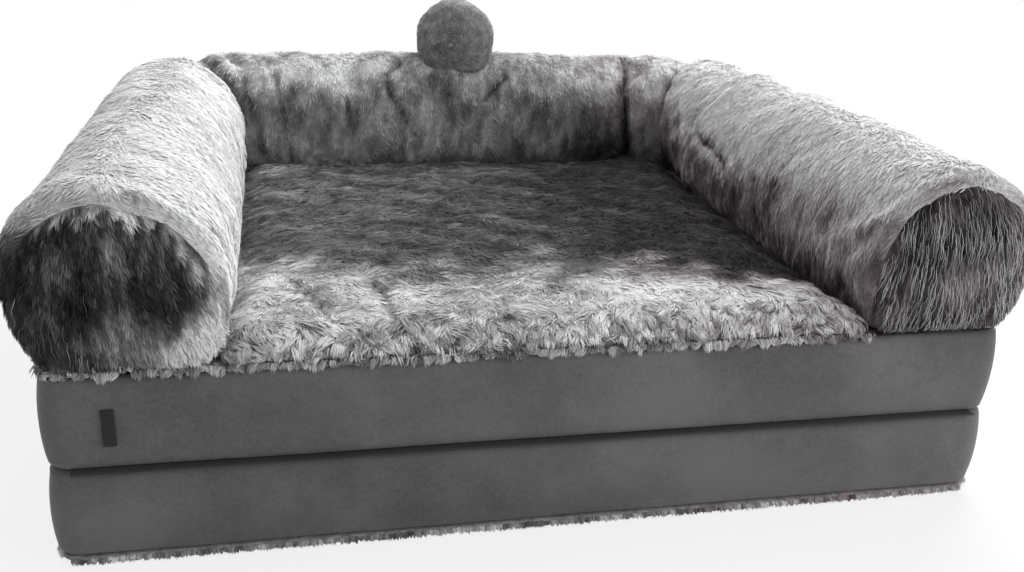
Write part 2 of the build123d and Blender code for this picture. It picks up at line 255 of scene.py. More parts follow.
def inflated(obj, voxel, cap, pinned, slack):
    """The cloth pass of a stuffed body: remeshed, and blown up from inside by no more than a cap. It is held
    where it is sewn, and its cloth is larger than its pattern by a share of slack."""
    name = obj.name
    remesh = obj.modifiers.new("remesh", "REMESH")
    remesh.mode = "VOXEL"
    remesh.voxel_size = voxel
    even = bpy.data.meshes.new_from_object(obj.evaluated_get(bpy.context.evaluated_depsgraph_get()))
    obj.modifiers.clear()
    obj.data = even
    start = points_of(obj)
    obj.vertex_groups.new(name="sewn").add(np.nonzero(pinned(start))[0].tolist(), 1.0, "REPLACE")
    cloth = obj.modifiers.new("cloth", "CLOTH")
    settings = cloth.settings
    settings.quality = 4
    settings.mass = 0.2
    settings.tension_stiffness = settings.compression_stiffness = 12
    settings.bending_stiffness = 0.4
    settings.use_pressure = True
    settings.uniform_pressure_force = 4.0
    settings.effector_weights.gravity = 0
    settings.vertex_group_mass = "sewn"
    settings.shrink_min = -slack
    cloth.collision_settings.use_collision = False
    cloth.point_cache.frame_end = cloth_frames
    for number in range(1, cloth_frames + 1):
        bpy.context.scene.frame_set(number)
    settled = obj.evaluated_get(bpy.context.evaluated_depsgraph_get())
    move = rows_of(settled.data.vertices, "co") - start
    obj.modifiers.clear()
    bpy.context.scene.frame_set(1)
    far = np.linalg.norm(move, axis=1, keepdims=True)
    set_points(obj, start + move * np.minimum(1, cap / np.maximum(far, 1e-9)))
    obj.data.polygons.foreach_set("use_smooth", np.full(len(obj.data.polygons), True))
    obj.name = name
    return obj


# How far in front of its tapes a cover still belongs to its zip
zip_reach = 40 * MM


def on_zip(points, word, margin=0.0, above=0.0):
    """Which points of a cover lie behind its zip's tapes, with a margin round them and more above."""
    low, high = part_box(f"{word}_zip_tapes")
    beside = np.abs(points[:, 0]) < high.x + margin
    level = (points[:, 2] > low.z - margin) & (points[:, 2] < high.z + above)
    return beside & (points[:, 1] > low.y - zip_reach) & level


def seat_zip(obj, word):
    """Holds a cover flush with its zip's tapes, and clear of the slider along the middle."""
    low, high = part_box(f"{word}_zip_tapes")
    slider_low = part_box(f"{word}_zip_slider")[0]
    middle, half = (low.z + high.z) / 2, (high.z - low.z) / 2
    co = points_of(obj)
    up = np.abs(co[:, 2] - middle)
    beside = np.maximum(np.abs(co[:, 0]) - high.x, up - half)
    flat = step(9 * MM, 0, beside) * (co[:, 1] > low.y - zip_reach)
    slot = (up < 5 * MM) & (beside < -3 * MM)
    co[:, 1] += flat * (np.where(slot, slider_low.y - 0.5 * MM, low.y - 0.2 * MM) - co[:, 1])
    set_points(obj, co)


# Pile: strands of real mesh that stand on a skin


def scatter(obj, count, seed, keep=None):
    """Seeded points spread evenly over a mesh in a mixed order, with their normals. keep weighs rows of
    points and normals."""
    mesh = obj.data
    mesh.calc_loop_triangles()
    corners = np.zeros(len(mesh.loop_triangles) * 3, np.int32)
    mesh.loop_triangles.foreach_get("vertices", corners)
    corners = corners.reshape(-1, 3)
    co, normals = points_of(obj), point_normals(obj)
    a, b, c = (co[corners[:, k]] for k in range(3))
    square = np.cross(b - a, c - a)
    area = np.linalg.norm(square, axis=1)
    if keep is not None:
        area = area * keep((a + b + c) / 3, unit(square))
    rng = np.random.default_rng(seed)
    share = np.cumsum(area) / area.sum()
    wanted = (np.arange(count) + rng.random(count)) / count
    picked = np.minimum(np.searchsorted(share, wanted), len(share) - 1)
    u, v = rng.random((2, count, 1))
    over = (u + v) > 1
    u, v = np.where(over, 1 - u, u), np.where(over, 1 - v, v)
    rows = corners[picked]
    place = co[rows[:, 0]] * (1 - u - v) + co[rows[:, 1]] * u + co[rows[:, 2]] * v
    normal = normals[rows[:, 0]] * (1 - u - v) + normals[rows[:, 1]] * u + normals[rows[:, 2]] * v
    order = rng.permutation(count)
    return place[order], unit(normal)[order]


def pile(
    name, place, normal, comb, tone, seed, length, width, lean, lock=(7, 0.45), stray=0.2, bent=True,
    floor=None,
):
    """Tapered three-sided strands on the given points. They lean from the skin by the two lean angles along
    the comb, are drawn into locks of so many strands by so much, and stray from the comb by some radians.
    Bent strands have a knee, and straight ones go from root to tip in one piece."""
    rng = np.random.default_rng(seed)
    count = len(place)
    along = unit(comb - normal * (comb * normal).sum(1, keepdims=True))
    across = np.cross(normal, along)
    turn = rng.normal(0, stray, (count, 1))
    along = unit(along * np.cos(turn) + across * np.sin(turn))
    across = np.cross(normal, along)
    size = (length * rng.uniform(0.65, 1.25, count))[:, None]
    first, second = (normal * sin(radians(angle)) + along * cos(radians(angle)) for angle in lean)
    root = place - normal * 0.8 * MM
    middle = root + first * size * 0.45
    tip = middle + second * size * 0.55
    group, draw = lock
    centres = place[::group]
    tree = kdtree.KDTree(len(centres))
    for k, centre in enumerate(centres):
        tree.insert(centre, k)
    tree.balance()
    nearest = np.array([tree.find(p)[1] for p in place])
    pull = (tip[::group][nearest] - tip) * draw
    middle = middle + pull * 0.3
    tip = tip + pull
    tone = tone + rng.normal(0, 0.05, len(centres))[nearest]
    if floor is not None:
        middle[:, 2] = np.maximum(middle[:, 2], floor + 0.4 * MM)
        tip[:, 2] = np.maximum(tip[:, 2], floor + 0.2 * MM)
    thick = (width * rng.uniform(0.7, 1.3, count))[:, None]
    upright = np.cross(second, across)
    rings = [(root, normal, 0.42), (middle, upright, 0.5)] if bent else [(root, normal, 0.5)]
    each = 3 * len(rings) + 1
    points, soft = np.zeros((count, each, 3)), np.zeros((count, each, 3))
    for ring, (centre, rise, share) in enumerate(rings):
        for k in range(3):
            angle = pi / 2 + k * 2 * pi / 3
            out = across * cos(angle) + rise * 0.5 * sin(angle)
            points[:, 3 * ring + k] = centre + out * thick * share
            soft[:, 3 * ring + k] = unit(normal + 0.45 * out)
    points[:, -1] = tip
    soft[:, -1] = unit(normal + 0.2 * along)
    pattern = []
    for k in range(3):
        n = (k + 1) % 3
        if bent:
            pattern += [(k, n, 3 + n), (k, 3 + n, 3 + k), (3 + k, 3 + n, 6)]
        else:
            pattern.append((k, n, 3))
    faces = (np.array(pattern)[None] + each * np.arange(count)[:, None, None]).reshape(-1, 3)
    obj = mesh_object(name, points.reshape(-1, 3), faces)
    give_attribute(obj, "tip", np.tile([0, 0, 0, 0.6, 0.6, 0.6, 1] if bent else [0, 0, 0, 1], count))
    give_attribute(obj, "tone", np.repeat(np.clip(tone, 0, 1), each))
    give_attribute(obj, "blush", np.repeat(blushed(place), each))
    give_strand_map(obj, count, bent)
    obj.data.normals_split_custom_set_from_vertices(soft.reshape(-1, 3))
    return obj


def give_strand_map(obj, count, bent):
    """A map on which each strand has a cell of its own, with its three sides side by side."""
    across = int(np.ceil(sqrt(count)))
    cell = np.arange(count)
    corner = np.stack([cell % across, cell // across], 1) / across
    layer = obj.data.uv_layers.new(name="OFBake")
    edge = 0.08
    cells = []
    for k in range(3):
        left, right = (k + edge) / 3, (k + 1 - edge) / 3
        top = ((left + right) / 2, 1 - edge)
        if bent:
            cells += [[(left, edge), (right, edge), (right, 0.5)], [(left, edge), (right, 0.5), (left, 0.5)]]
            cells.append([(left, 0.5), (right, 0.5), top])
        else:
            cells.append([(left, edge), (right, edge), top])
    uv = np.array(cells)[None] / across + corner[:, None, None]
    layer.data.foreach_set("uv", uv.astype(np.float32).ravel())


def coat(
    name, skin, body, slot, seed, counts, comb, tone, keep, length, width, lean=(24, 6), stray=0.2,
    lock=(7, 0.45),
):
    """A skin's pile in two layers: bent guard hairs and a denser, shorter undercoat, in these counts."""
    rng = np.random.default_rng(seed)
    for suffix, count, bent, size in (("pile", counts[0], True, 1.0), ("undercoat", counts[1], False, 0.72)):
        place, normal = scatter(skin, count, seed + bent, keep)
        shade = tone(place, normal) + rng.normal(0, 0.045, count)
        strands = pile(
            f"{name}_{suffix}", place, normal, comb(place), shade, seed + 2 + bent,
            length * size, width * size, lean, lock, stray, bent,
        )
        dress(strands, plush, body, slot)


def long_locks(name, skin, place, comb, tone, seed, length, width, rise, swing):
    """Long thin wavy strands that follow a skin at a small rise over it, swinging from side to side."""
    rng = np.random.default_rng(seed)
    surface = surface_of(skin)
    count, knots = len(place), 7
    size = length * rng.uniform(0.6, 1.3, count)
    phase = rng.uniform(0, 2 * pi, count)
    start = unit(comb)
    points, pattern = [], []
    for strand in range(count):
        spot = Vector(place[strand])
        ahead = Vector(start[strand])
        for knot in range(knots):
            share = knot / (knots - 1)
            near, out, _, _ = surface.find_nearest(spot)
            side = out.cross(ahead).normalized()
            middle = near + out * rise * (0.35 + 0.65 * sin(pi * min(1, share * 1.4)))
            thick = width * (0.75 - 0.65 * share**2)
            for k in range(3):
                angle = pi / 2 + k * 2 * pi / 3
                points.append(middle + side * (thick * 0.5 * cos(angle)) + out * (thick * 0.4 * sin(angle)))
            wander = side * swing * cos(phase[strand] + share * 12)
            spot = near + (ahead + wander) * (size[strand] / (knots - 1))
    for ring in range(0, 3 * (knots - 1), 3):
        for k in range(3):
            n = (k + 1) % 3
            pattern += [(ring + k, ring + n, ring + 3 + n), (ring + k, ring + 3 + n, ring + 3 + k)]
    faces = (np.array(pattern)[None] + 3 * knots * np.arange(count)[:, None, None]).reshape(-1, 3)
    obj = mesh_object(name, points, faces)
    give_attribute(obj, "tip", np.ones(3 * knots * count))
    give_attribute(obj, "tone", np.repeat(np.clip(tone + rng.normal(0, 0.1, count), 0, 1), 3 * knots))
    return obj


def from_path(points, path):
    """How far rows of flat points are from a path through the given points."""
    nearest = np.full(len(points), np.inf)
    for first, last in zip(path, path[1:]):
        first, run = np.array(first), np.array(last) - np.array(first)
        share = np.clip(((points - first) @ run) / (run @ run), 0, 1)
        nearest = np.minimum(nearest, np.linalg.norm(points - first - share[:, None] * run, axis=1))
    return nearest


def near_paths(points, paths, reach):
    """1 on any of some paths and 0 a few reaches away."""
    return sum(np.exp(-((from_path(points, path) / reach) ** 2)) for path in paths)


def marbled(place, seed, across=(1, 1, 1)):
    """Frosting of two sizes, mostly from -1 to 1. The smaller dashes are drawn out along the directions where
    across is small."""
    dashes = waves(place * across, 13 * MM, seed + 1, 18)
    return 0.6 * dashes + 0.6 * waves(place, 60 * MM, seed + 2)


# Materials


def new_material(name):
    """A node material with its shader."""
    material = bpy.data.materials.new(name)
    material.use_nodes = True
    return material, material.node_tree, material.node_tree.nodes["Principled BSDF"]


def node(tree, kind, vector=None, **inputs):
    """A new node with its unlinked inputs set by name."""
    made = tree.nodes.new(kind)
    for key, value in inputs.items():
        made.inputs[key].default_value = value
    if vector is not None:
        tree.links.new(vector, made.inputs["Vector"])
    return made


def ramp(tree, factor, stops):
    """A colour ramp through (place, (r, g, b)) stops."""
    made = tree.nodes.new("ShaderNodeValToRGB")
    elements = made.color_ramp.elements
    while len(elements) < len(stops):
        elements.new(0.5)
    for element, (place, colour) in zip(elements, stops):
        element.position = place
        element.color = (*colour, 1)
    tree.links.new(factor, made.inputs["Fac"])
    return made.outputs["Color"]


def plug(tree, value, socket):
    """Sets a socket to a number, or links it to another socket."""
    if isinstance(value, (int, float)):
        socket.default_value = value
    else:
        tree.links.new(value, socket)


def maths(tree, operation, first, second):
    """A sum, product or the like of two sockets or numbers."""
    made = tree.nodes.new("ShaderNodeMath")
    made.operation = operation
    plug(tree, first, made.inputs[0])
    plug(tree, second, made.inputs[1])
    return made.outputs[0]


def mixed(tree, blend, factor, first, second):
    """A mix of two colours."""
    made = tree.nodes.new("ShaderNodeMix")
    made.data_type = "RGBA"
    made.blend_type = blend
    plug(tree, factor, made.inputs[0])
    tree.links.new(first, made.inputs[6])
    tree.links.new(second, made.inputs[7])
    return made.outputs[2]


def object_place(tree):
    """The place on the object, for patterns."""
    return tree.nodes.new("ShaderNodeTexCoord").outputs["Object"]


def bumped(tree, shader, height, strength, distance):
    """Lets a height shape the shader's normal."""
    bump = node(tree, "ShaderNodeBump", Strength=strength, Distance=distance)
    tree.links.new(height, bump.inputs["Height"])
    tree.links.new(bump.outputs["Normal"], shader.inputs["Normal"])


def finish(shader, roughness, specular=0.2, sheen=0.0, metallic=0.0):
    """Sets a shader's even values."""
    shader.inputs["Roughness"].default_value = roughness
    shader.inputs["Specular IOR Level"].default_value = specular
    shader.inputs["Sheen Weight"].default_value = sheen
    shader.inputs["Sheen Roughness"].default_value = 0.45
    shader.inputs["Metallic"].default_value = metallic


def grey(value, warm=0.0):
    """A linear colour from an sRGB share of grey, a little warmer or cooler."""
    linear = ((value + 0.055) / 1.055) ** 2.4
    return (linear * (1 + warm), linear, linear * (1 - warm))


def toned(tree):
    """The colour of frosted plush from the tone on each point, and how far it is blushed with mauve."""
    tone, blush = (tree.nodes.new("ShaderNodeAttribute") for _ in range(2))
    tone.attribute_name, blush.attribute_name = "tone", "blush"
    greys = [(share, grey(0.04 + 0.94 * share, -0.01)) for share in (0.0, 0.25, 0.5, 0.75, 1.0)]
    mauves = []
    for depth, (share, (red, green, blue)) in zip((1, 1, 1, 0.5, 0), greys):
        mauves.append((share, (red * (1 + 0.13 * depth), green * (1 - 0.07 * depth), blue)))
    even, tinted = (ramp(tree, tone.outputs["Fac"], stops) for stops in (greys, mauves))
    return mixed(tree, "MIX", blush.outputs["Fac"], even, tinted)


def blushed(points):
    """How far the plush is blushed: on the front of the seat, and most on the right arm."""
    return 0.25 * step(0.3, -0.2, points[:, 1]) + 0.75 * step(0.0, 0.36, points[:, 0])


def plush_material(name):
    """Frosted plush strands, darker towards their roots."""
    material, tree, shader = new_material(name)
    tip = tree.nodes.new("ShaderNodeAttribute")
    tip.attribute_name = "tip"
    depth = ramp(tree, tip.outputs["Fac"], ((0.0, (0.45, 0.45, 0.45)), (0.8, (1, 1, 1))))
    tree.links.new(mixed(tree, "MULTIPLY", 1, toned(tree), depth), shader.inputs["Base Color"])
    finish(shader, 0.85, 0.1, sheen=0.06)
    return material


def skin_material(name):
    """The cloth under the pile, toned like it, with a fine nap of its own."""
    material, tree, shader = new_material(name)
    place = object_place(tree)
    marble = node(tree, "ShaderNodeTexNoise", place, Scale=110.0, Detail=6.0, Roughness=0.62, Distortion=0.6)
    speckle = ramp(tree, marble.outputs["Fac"], ((0.35, (0.5, 0.5, 0.5)), (0.65, (0.95, 0.95, 0.95))))
    tree.links.new(mixed(tree, "MULTIPLY", 1, toned(tree), speckle), shader.inputs["Base Color"])
    fine = node(tree, "ShaderNodeTexNoise", place, Scale=420.0, Detail=3.0, Roughness=0.7)
    bumped(tree, shader, maths(tree, "ADD", marble.outputs["Fac"], fine.outputs["Fac"]), 0.6, 2 * MM)
    finish(shader, 0.9, 0.1, sheen=0.12)
    return material


def suede_material(name, shade, base):
    """Short-napped suede: soft clouds where the nap lies either way, and a fine grain."""
    material, tree, shader = new_material(name)
    place = object_place(tree)
    cloud = node(tree, "ShaderNodeTexNoise", place, Scale=6.0, Detail=5.0, Roughness=0.6)
    speckle = node(tree, "ShaderNodeTexNoise", place, Scale=260.0, Detail=3.0, Roughness=0.6)
    large = maths(tree, "MULTIPLY", cloud.outputs["Fac"], 0.75)
    small = maths(tree, "MULTIPLY", speckle.outputs["Fac"], 0.25)
    nap = ramp(tree, maths(tree, "ADD", large, small), ((0.38, shade), (0.62, base)))
    tree.links.new(nap, shader.inputs["Base Color"])
    grain = node(tree, "ShaderNodeTexNoise", place, Scale=1100.0, Detail=2.0, Roughness=0.6)
    bumped(tree, shader, grain.outputs["Fac"], 0.4, 0.6 * MM)
    finish(shader, 0.85, 0.2, sheen=0.25)
    return material


def woven_material(name, dark, light, pitch, rough=0.8):
    """A plain weave of threads one pitch apart."""
    material, tree, shader = new_material(name)
    place = object_place(tree)
    heights = []
    for direction in ("X", "Z"):
        wave = node(tree, "ShaderNodeTexWave", place, Scale=pi / pitch / 20, Distortion=0.3, Detail=1.0)
        wave.bands_direction = direction
        heights.append(wave.outputs["Fac"])
    weave = maths(tree, "MAXIMUM", *heights)
    tree.links.new(ramp(tree, weave, ((0.2, dark), (0.9, light))), shader.inputs["Base Color"])
    bumped(tree, shader, weave, 0.5, 0.3 * MM)
    finish(shader, rough, 0.2, sheen=0.1)
    return material


def grained_material(name, grain, stops, bump, *even, metallic=0.0):
    """A material of one grain, given as a kind of node, its output and its inputs. It has a colour at each of
    the grain's stops, a bump of (strength, depth) and the shader's even values."""
    material, tree, shader = new_material(name)
    kind, output, inputs = grain
    height = node(tree, kind, object_place(tree), **inputs).outputs[output]
    tree.links.new(ramp(tree, height, stops), shader.inputs["Base Color"])
    bumped(tree, shader, height, *bump)
    finish(shader, *even, metallic=metallic)
    return material


def noise(scale, detail, roughness, distortion=0.0):
    """A noise as a grain."""
    inputs = {"Scale": scale, "Detail": detail, "Roughness": roughness, "Distortion": distortion}
    return "ShaderNodeTexNoise", "Fac", inputs


plush = plush_material("plush")
plush_skin = skin_material("plush_skin")
suede = suede_material("suede", grey(0.345, -0.01), grey(0.45, -0.01))
welt_cloth = suede_material("welt_cloth", grey(0.2), grey(0.24))
hinge_cloth = woven_material("hinge_cloth", grey(0.16), grey(0.26), 0.8 * MM)
tab_tape = woven_material("tab_tape", grey(0.1), grey(0.17), 0.5 * MM, rough=0.6)
zip_tape = woven_material("zip_tape", grey(0.16), grey(0.27), 0.6 * MM)
zip_coil = suede_material("zip_coil", grey(0.2), grey(0.3))
plating, worn_plating = (0.42, 0.42, 0.43), (0.567, 0.567, 0.5805)
zip_metal = grained_material(
    "zip_metal", noise(700.0, 4.0, 0.6), ((0.4, plating), (0.72, worn_plating)), (0.15, 0.2 * MM),
    0.32, 0.5, metallic=1.0,
)
open_cells = ("ShaderNodeTexVoronoi", "Distance", {"Scale": 520.0})
foam = grained_material(
    "foam", open_cells, ((0.0, grey(0.72, 0.03)), (0.5, grey(0.88, 0.05))), (0.6, 0.8 * MM),
    0.95, 0.1,
)
wadding = grained_material(
    "wadding", noise(130.0, 8.0, 0.75, 2.0), ((0.35, grey(0.7)), (0.6, grey(0.93))), (1.0, 3 * MM),
    0.95, 0.1, 0.2,
)
lining = woven_material("lining", grey(0.7), grey(0.84), 0.7 * MM)
thread = suede_material("thread", grey(0.72, 0.03), grey(0.8, 0.03))


def dress(obj, material, body, slot, *replaced, padded=None):
    """Gives a piece its material and body, and hides the parts that it replaces. The slot is not used."""
    obj.data.materials.clear()
    obj.data.materials.append(material)
    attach(obj, body)
    if replaced:
        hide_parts(*replaced)
    return obj


# Bolsters

section_points = 64
mitre_run = 40 * MM
end_round = 24 * MM
end_bulge = 6 * MM
bend_steps = 10
foot_spread = 25 * MM
cloth_voxel = 7 * MM
# How high the covers are sewn down in the cloth pass
sewn_foot = 6 * MM
# For the right and left bend: how far the bolsters are drawn in at the mitre, and held on both sides of it
pinch = {1: 0.02, -1: 0.07}
mitre_hold = {1: 36 * MM, -1: 6 * MM}


def bolster_section(size):
    """The section of a bolster about its foot: up the inner flank, over, down the outer flank and back
    below."""
    radius = bolster_radius * size
    height = bolster_axis_height * size
    dip = np.arcsin(height / radius)
    angles = np.linspace(pi + dip, -dip, section_points)
    arc = np.stack([radius * np.cos(angles), height + radius * np.sin(angles)], 1)
    foot = np.linspace(arc[-1], arc[0], section_points // 3)[1:-1]
    return np.concatenate([arc, foot])


def drawn_in(ring, inset):
    """A section drawn in on all sides by an inset, about a point at the axis height."""
    middle = np.array([0, bolster_axis_height])
    return middle + (ring - middle) * (1 - inset / bolster_radius)


def ring_at(y, inset=0.0):
    """A ring of the arm across its straight run, rounded to the front, with a groove at the end panel's seam.
    Its inner flank stands nearly upright on the seat."""
    size = 1 - 0.13 * (1 - step(0, 1, (y - bolster_front) / end_round)) ** 1.6
    groove = 4 * MM * np.exp(-(((y - panel_seam_y) / (5 * MM)) ** 2))
    ring = drawn_in(bolster_section(size), inset + groove)
    low = 1 - np.clip(ring[:, 1] / bolster_axis_height, 0, 1)
    foot = sqrt(bolster_radius**2 - bolster_axis_height**2)
    spread = foot_spread * step(bend_y, bend_y - 130 * MM, y)
    ring[:, 0] -= spread * low**1.5 * np.clip(-ring[:, 0] / foot, 0, 1)
    return np.stack([bolster_x + ring[:, 0], np.full(len(ring), y), deck_top + ring[:, 1]], 1)


def bend_ring(angle, side, drawn, inset=0.0):
    """A ring in the bend, drawn in towards the mitre by a share."""
    away = abs(angle - pi / 4) * bend
    ring = drawn_in(bolster_section(1 - drawn * (1 - step(0, 1, away / mitre_run))), inset)
    reach = bend + ring[:, 0]
    return np.stack(
        [side * (bend_x + reach * cos(angle)), bend_y + reach * sin(angle), deck_top + ring[:, 1]], 1
    )


def capped(ring, bulge):
    """A ring's end closed by smaller rings that bulge forward."""
    middle = ring.mean(0)
    rings = []
    for share in (0.06, 0.2, 0.36, 0.52, 0.68, 0.84):
        rings.append(middle + (ring - middle) * share - (0, bulge * (1 - share**2), 0))
    return rings


def arm_rings(side, inset=0.0):
    """The rings of an arm's body, as on the right, from its rounded front to the mitre."""
    front = bolster_front + inset
    starts = [front + share * (end_round - inset) for share in (0, 0.1, 0.2, 0.32, 0.45, 0.6, 0.8)]
    rings = [ring_at(y, inset) for y in starts]
    rings = capped(rings[0], end_bulge) + rings
    rings += [ring_at(y, inset) for y in np.linspace(bolster_front + end_round, bend_y, 60)]
    rings += [bend_ring(angle, 1, pinch[side], inset) for angle in np.linspace(0, pi / 4, bend_steps)[1:]]
    return rings


def back_rings(inset=0.0):
    """The rings of the back's body, from one mitre to the other."""
    rings = [bend_ring(angle, 1, pinch[1], inset) for angle in np.linspace(pi / 4, pi / 2, bend_steps)]
    ring = drawn_in(bolster_section(1), inset)
    for x in np.linspace(bend_x, -bend_x, 60)[1:-1]:
        rings.append(np.stack([np.full(len(ring), x), bend_y + bend + ring[:, 0], deck_top + ring[:, 1]], 1))
    rings += [bend_ring(angle, -1, pinch[-1], inset) for angle in np.linspace(pi / 2, pi / 4, bend_steps)]
    return rings


def beyond_mitre(points, side):
    """How far rows of points are from the mitre plane, positive on the back's side."""
    return ((points[:, 1] - bend_y) - (points[:, 0] * side - bend_x)) / sqrt(2)


def sewn_arm(side):
    """Where an arm is held in the cloth pass: its foot, its mitre and the seam of its end panel."""

    def held(points):
        seam = np.abs(points[:, 1] - panel_seam_y) < 4 * MM
        mitre = beyond_mitre(points, side) > -mitre_hold[side]
        return (points[:, 2] < deck_top + sewn_foot) | mitre | seam

    return held


def sewn_back(points):
    """Where the back is held in the cloth pass: its foot, both mitres and its zip."""
    mitre = (beyond_mitre(points, 1) < mitre_hold[1]) | (beyond_mitre(points, -1) < mitre_hold[-1])
    return (points[:, 2] < deck_top + sewn_foot) | mitre | on_zip(points, "bolster", 14 * MM, 14 * MM)


def above_deck(points):
    """0 at the deck and 1 a little above it, so that a skin's unevenness leaves its foot alone."""
    return step(deck_top, deck_top + 25 * MM, points[:, 2])


def arm_comb(side):
    """An arm's pile lies down both flanks from its crest, and forward."""

    def comb(points):
        x = (points[:, 0] * side - bolster_x) / bolster_radius
        swirl = 0.3 * waves(points, 120 * MM, 31 + side)
        return np.stack([side * np.clip(2.5 * x, -1, 1) + swirl, -0.5 + swirl, -np.abs(x) - 0.15], 1)

    return comb


def back_comb(points):
    """The back's pile lies down both faces from its crest."""
    y = (points[:, 1] - bolster_y) / bolster_radius
    swirl = 0.4 * waves(points, 110 * MM, 37)
    return np.stack([swirl, np.clip(2.5 * y, -1, 1), -np.abs(y) - 0.15 + 0.3 * swirl], 1)


def panel_comb(side):
    """The pile of an end panel hangs down and fans out a little."""

    def comb(points):
        fan = 0.12 + 0.3 * (points[:, 0] - side * bolster_x) / bolster_radius
        return np.stack([fan + 0.1 * waves(points, 50 * MM, 39), 0 * fan, 0 * fan - 1], 1)

    return comb


# Folds in the right arm's inner flank, as paths in y and z, and the light thread across it, as points
arm_folds = (
    ((0.087, 0.302), (0.02, 0.297), (-0.04, 0.283)),
    ((0.17, 0.3), (0.15, 0.26), (0.135, 0.225)),
    ((-0.12, 0.29), (-0.14, 0.25), (-0.15, 0.225)),
)
arm_thread = (
    (0.361, -0.32, 0.355), (0.343, -0.316, 0.335), (0.333, -0.309, 0.312), (0.328, -0.3, 0.288),
    (0.328, -0.289, 0.262), (0.335, -0.272, 0.238), (0.343, -0.25, 0.222),
)


def in_arm_folds(points):
    """1 in the folds of the right arm's inner flank, and 0 elsewhere."""
    return near_paths(points[:, 1:], arm_folds, 5 * MM) * (points[:, 0] < bolster_x)


def arm_tone(side):
    """An arm's tone: painted light on its top, where it faces up, and on the left arm's inner flank, which
    faces the lamps; painted shade on the right arm's inner flank, low down by the seat and in the right arm's
    folds. The left arm is darker at the front of its outer flank.
    """
    inner, outer, top_light_from = (0.53, 0.82, -0.05) if side > 0 else (0.97, 0.76, 0.1)

    def tone(points, normals):
        # Painted light and shade by flank: the left arm's inner flank is lit, the right arm's is in shade
        flank = np.where(normals[:, 0] * side < 0, inner, outer)
        # Painted shade low down, by the seat
        low = step(deck_top + 80 * MM, deck_top + 10 * MM, points[:, 2])
        flank = flank - (0.07 if side > 0 else 0.04) * low
        # Painted light on the top, where the skin faces up
        crest = step(top_light_from, 0.65, normals[:, 2])
        frost = marbled(points, 53 + side, (0.3, 1, 0.3))
        # Painted shade in the right arm's folds
        folds = 0.3 * in_arm_folds(points) if side > 0 else 0
        tone = flank + (1.0 - flank) * crest + frost * (0.16 - 0.1 * crest) - folds
        if side > 0:
            return tone
        front = step(-0.37, -0.41, points[:, 1]) * step(0.35, 0.335, points[:, 2])
        return tone - 0.5 * front * step(-0.47, -0.49, points[:, 0])

    return tone


# Folds in the back's front face: paths in x and z
back_folds = (
    ((-0.086, 0.374), (-0.111, 0.356), (-0.104, 0.33), (-0.085, 0.301), (-0.07, 0.271)),
    ((0.076, 0.357), (0.04, 0.323)),
    ((-0.277, 0.356), (-0.267, 0.309), (-0.259, 0.248), (-0.257, 0.221)),
)
# The deep crease where the back meets the right arm, the shade beside the left arm, and two light streaks
corner_crease = (
    (0.281, 0.374), (0.276, 0.358), (0.271, 0.337), (0.269, 0.292), (0.276, 0.242), (0.281, 0.212),
)
left_shade = ((-0.366, 0.362), (-0.328, 0.337), (-0.304, 0.295), (-0.3, 0.249))
back_streaks = (((-0.179, 0.368), (-0.181, 0.29)), ((-0.094, 0.33), (-0.076, 0.279)))
# Painted light on the back's crest: its tone at places in x
back_top_light_x = (-0.3, -0.18, -0.1, 0.05, 0.2, 0.27, 0.34)
back_top_light_tones = (0.9, 0.96, 0.84, 0.72, 0.76, 0.84, 0.97)


def in_back_folds(points):
    """1 in the folds of the back's front face, more in the crease at the right arm, and 0 elsewhere."""
    flat = points[:, [0, 2]]
    folds = near_paths(flat, back_folds, 5 * MM) + 2 * near_paths(flat, [corner_crease], 6 * MM)
    return folds * (points[:, 1] < bolster_y)


def back_tone(points, normals):
    """The back's tone: painted light on its crest, where it faces up, painted shade on its front face,
    deepest by the right arm's corner, and its rear face as it comes. Its front face is lighter low down, most
    to the left, and its folds are painted darker as shade.
    """
    x, z = points[:, 0], points[:, 2]
    # Painted shade in the front face's right end, by the right arm's corner
    painted_corner_shade = step(0.13, 0.24, x) * step(0.275, 0.265, x) * step(0.34, 0.27, z)
    front = 0.6 - 0.34 * painted_corner_shade + step(0.32, 0.24, z) * (0.12 + 0.12 * step(0.0, -0.2, x))
    # The front face painted darker than the rear face, as shade
    face = np.where(normals[:, 1] < 0, front, 0.7)
    crest = step(0.3, 0.9, normals[:, 2])
    tone = face + (np.interp(x, back_top_light_x, back_top_light_tones) - face) * crest
    flat = points[:, [0, 2]]
    marks = 0.16 * near_paths(flat, back_streaks, 5 * MM) - 0.3 * near_paths(flat, [left_shade], 11 * MM)
    # Painted shade in the folds and in the crease by the right arm
    marks = marks * (points[:, 1] < bolster_y) - 0.25 * in_back_folds(points)
    return tone + marbled(points, 77, (1, 0.3, 0.3)) * 0.14 + marks


# The left end panel's dark middle: its upper edge in x, and its inner edge in z
dark_x = (-0.491, -0.455, -0.414, -0.383)
dark_top = (0.336, 0.348, 0.357, 0.34)
dark_z = (0.204, 0.231, 0.255, 0.283, 0.312, 0.34)
dark_inner = (-0.389, -0.383, -0.365, -0.353, -0.361, -0.383)


def left_panel_tone(points, normals):
    """Dark in the middle and on the outside, with light streaked pile above it and towards the inside."""
    frost = marbled(points, 64, (1, 1, 0.25))
    top, inner = np.interp(points[:, 0], dark_x, dark_top), np.interp(points[:, 2], dark_z, dark_inner)
    above = step(-4 * MM, 8 * MM, points[:, 2] - top + 4 * MM * frost)
    inside = step(-8 * MM, 12 * MM, points[:, 0] - inner + 3 * MM * frost)
    light = np.maximum(above, inside)
    low = step(0.29, 0.22, points[:, 2]) * step(-0.49, -0.4, points[:, 0])
    return 0.23 + 0.32 * low + 0.5 * light + frost * (0.13 + 0.12 * light)


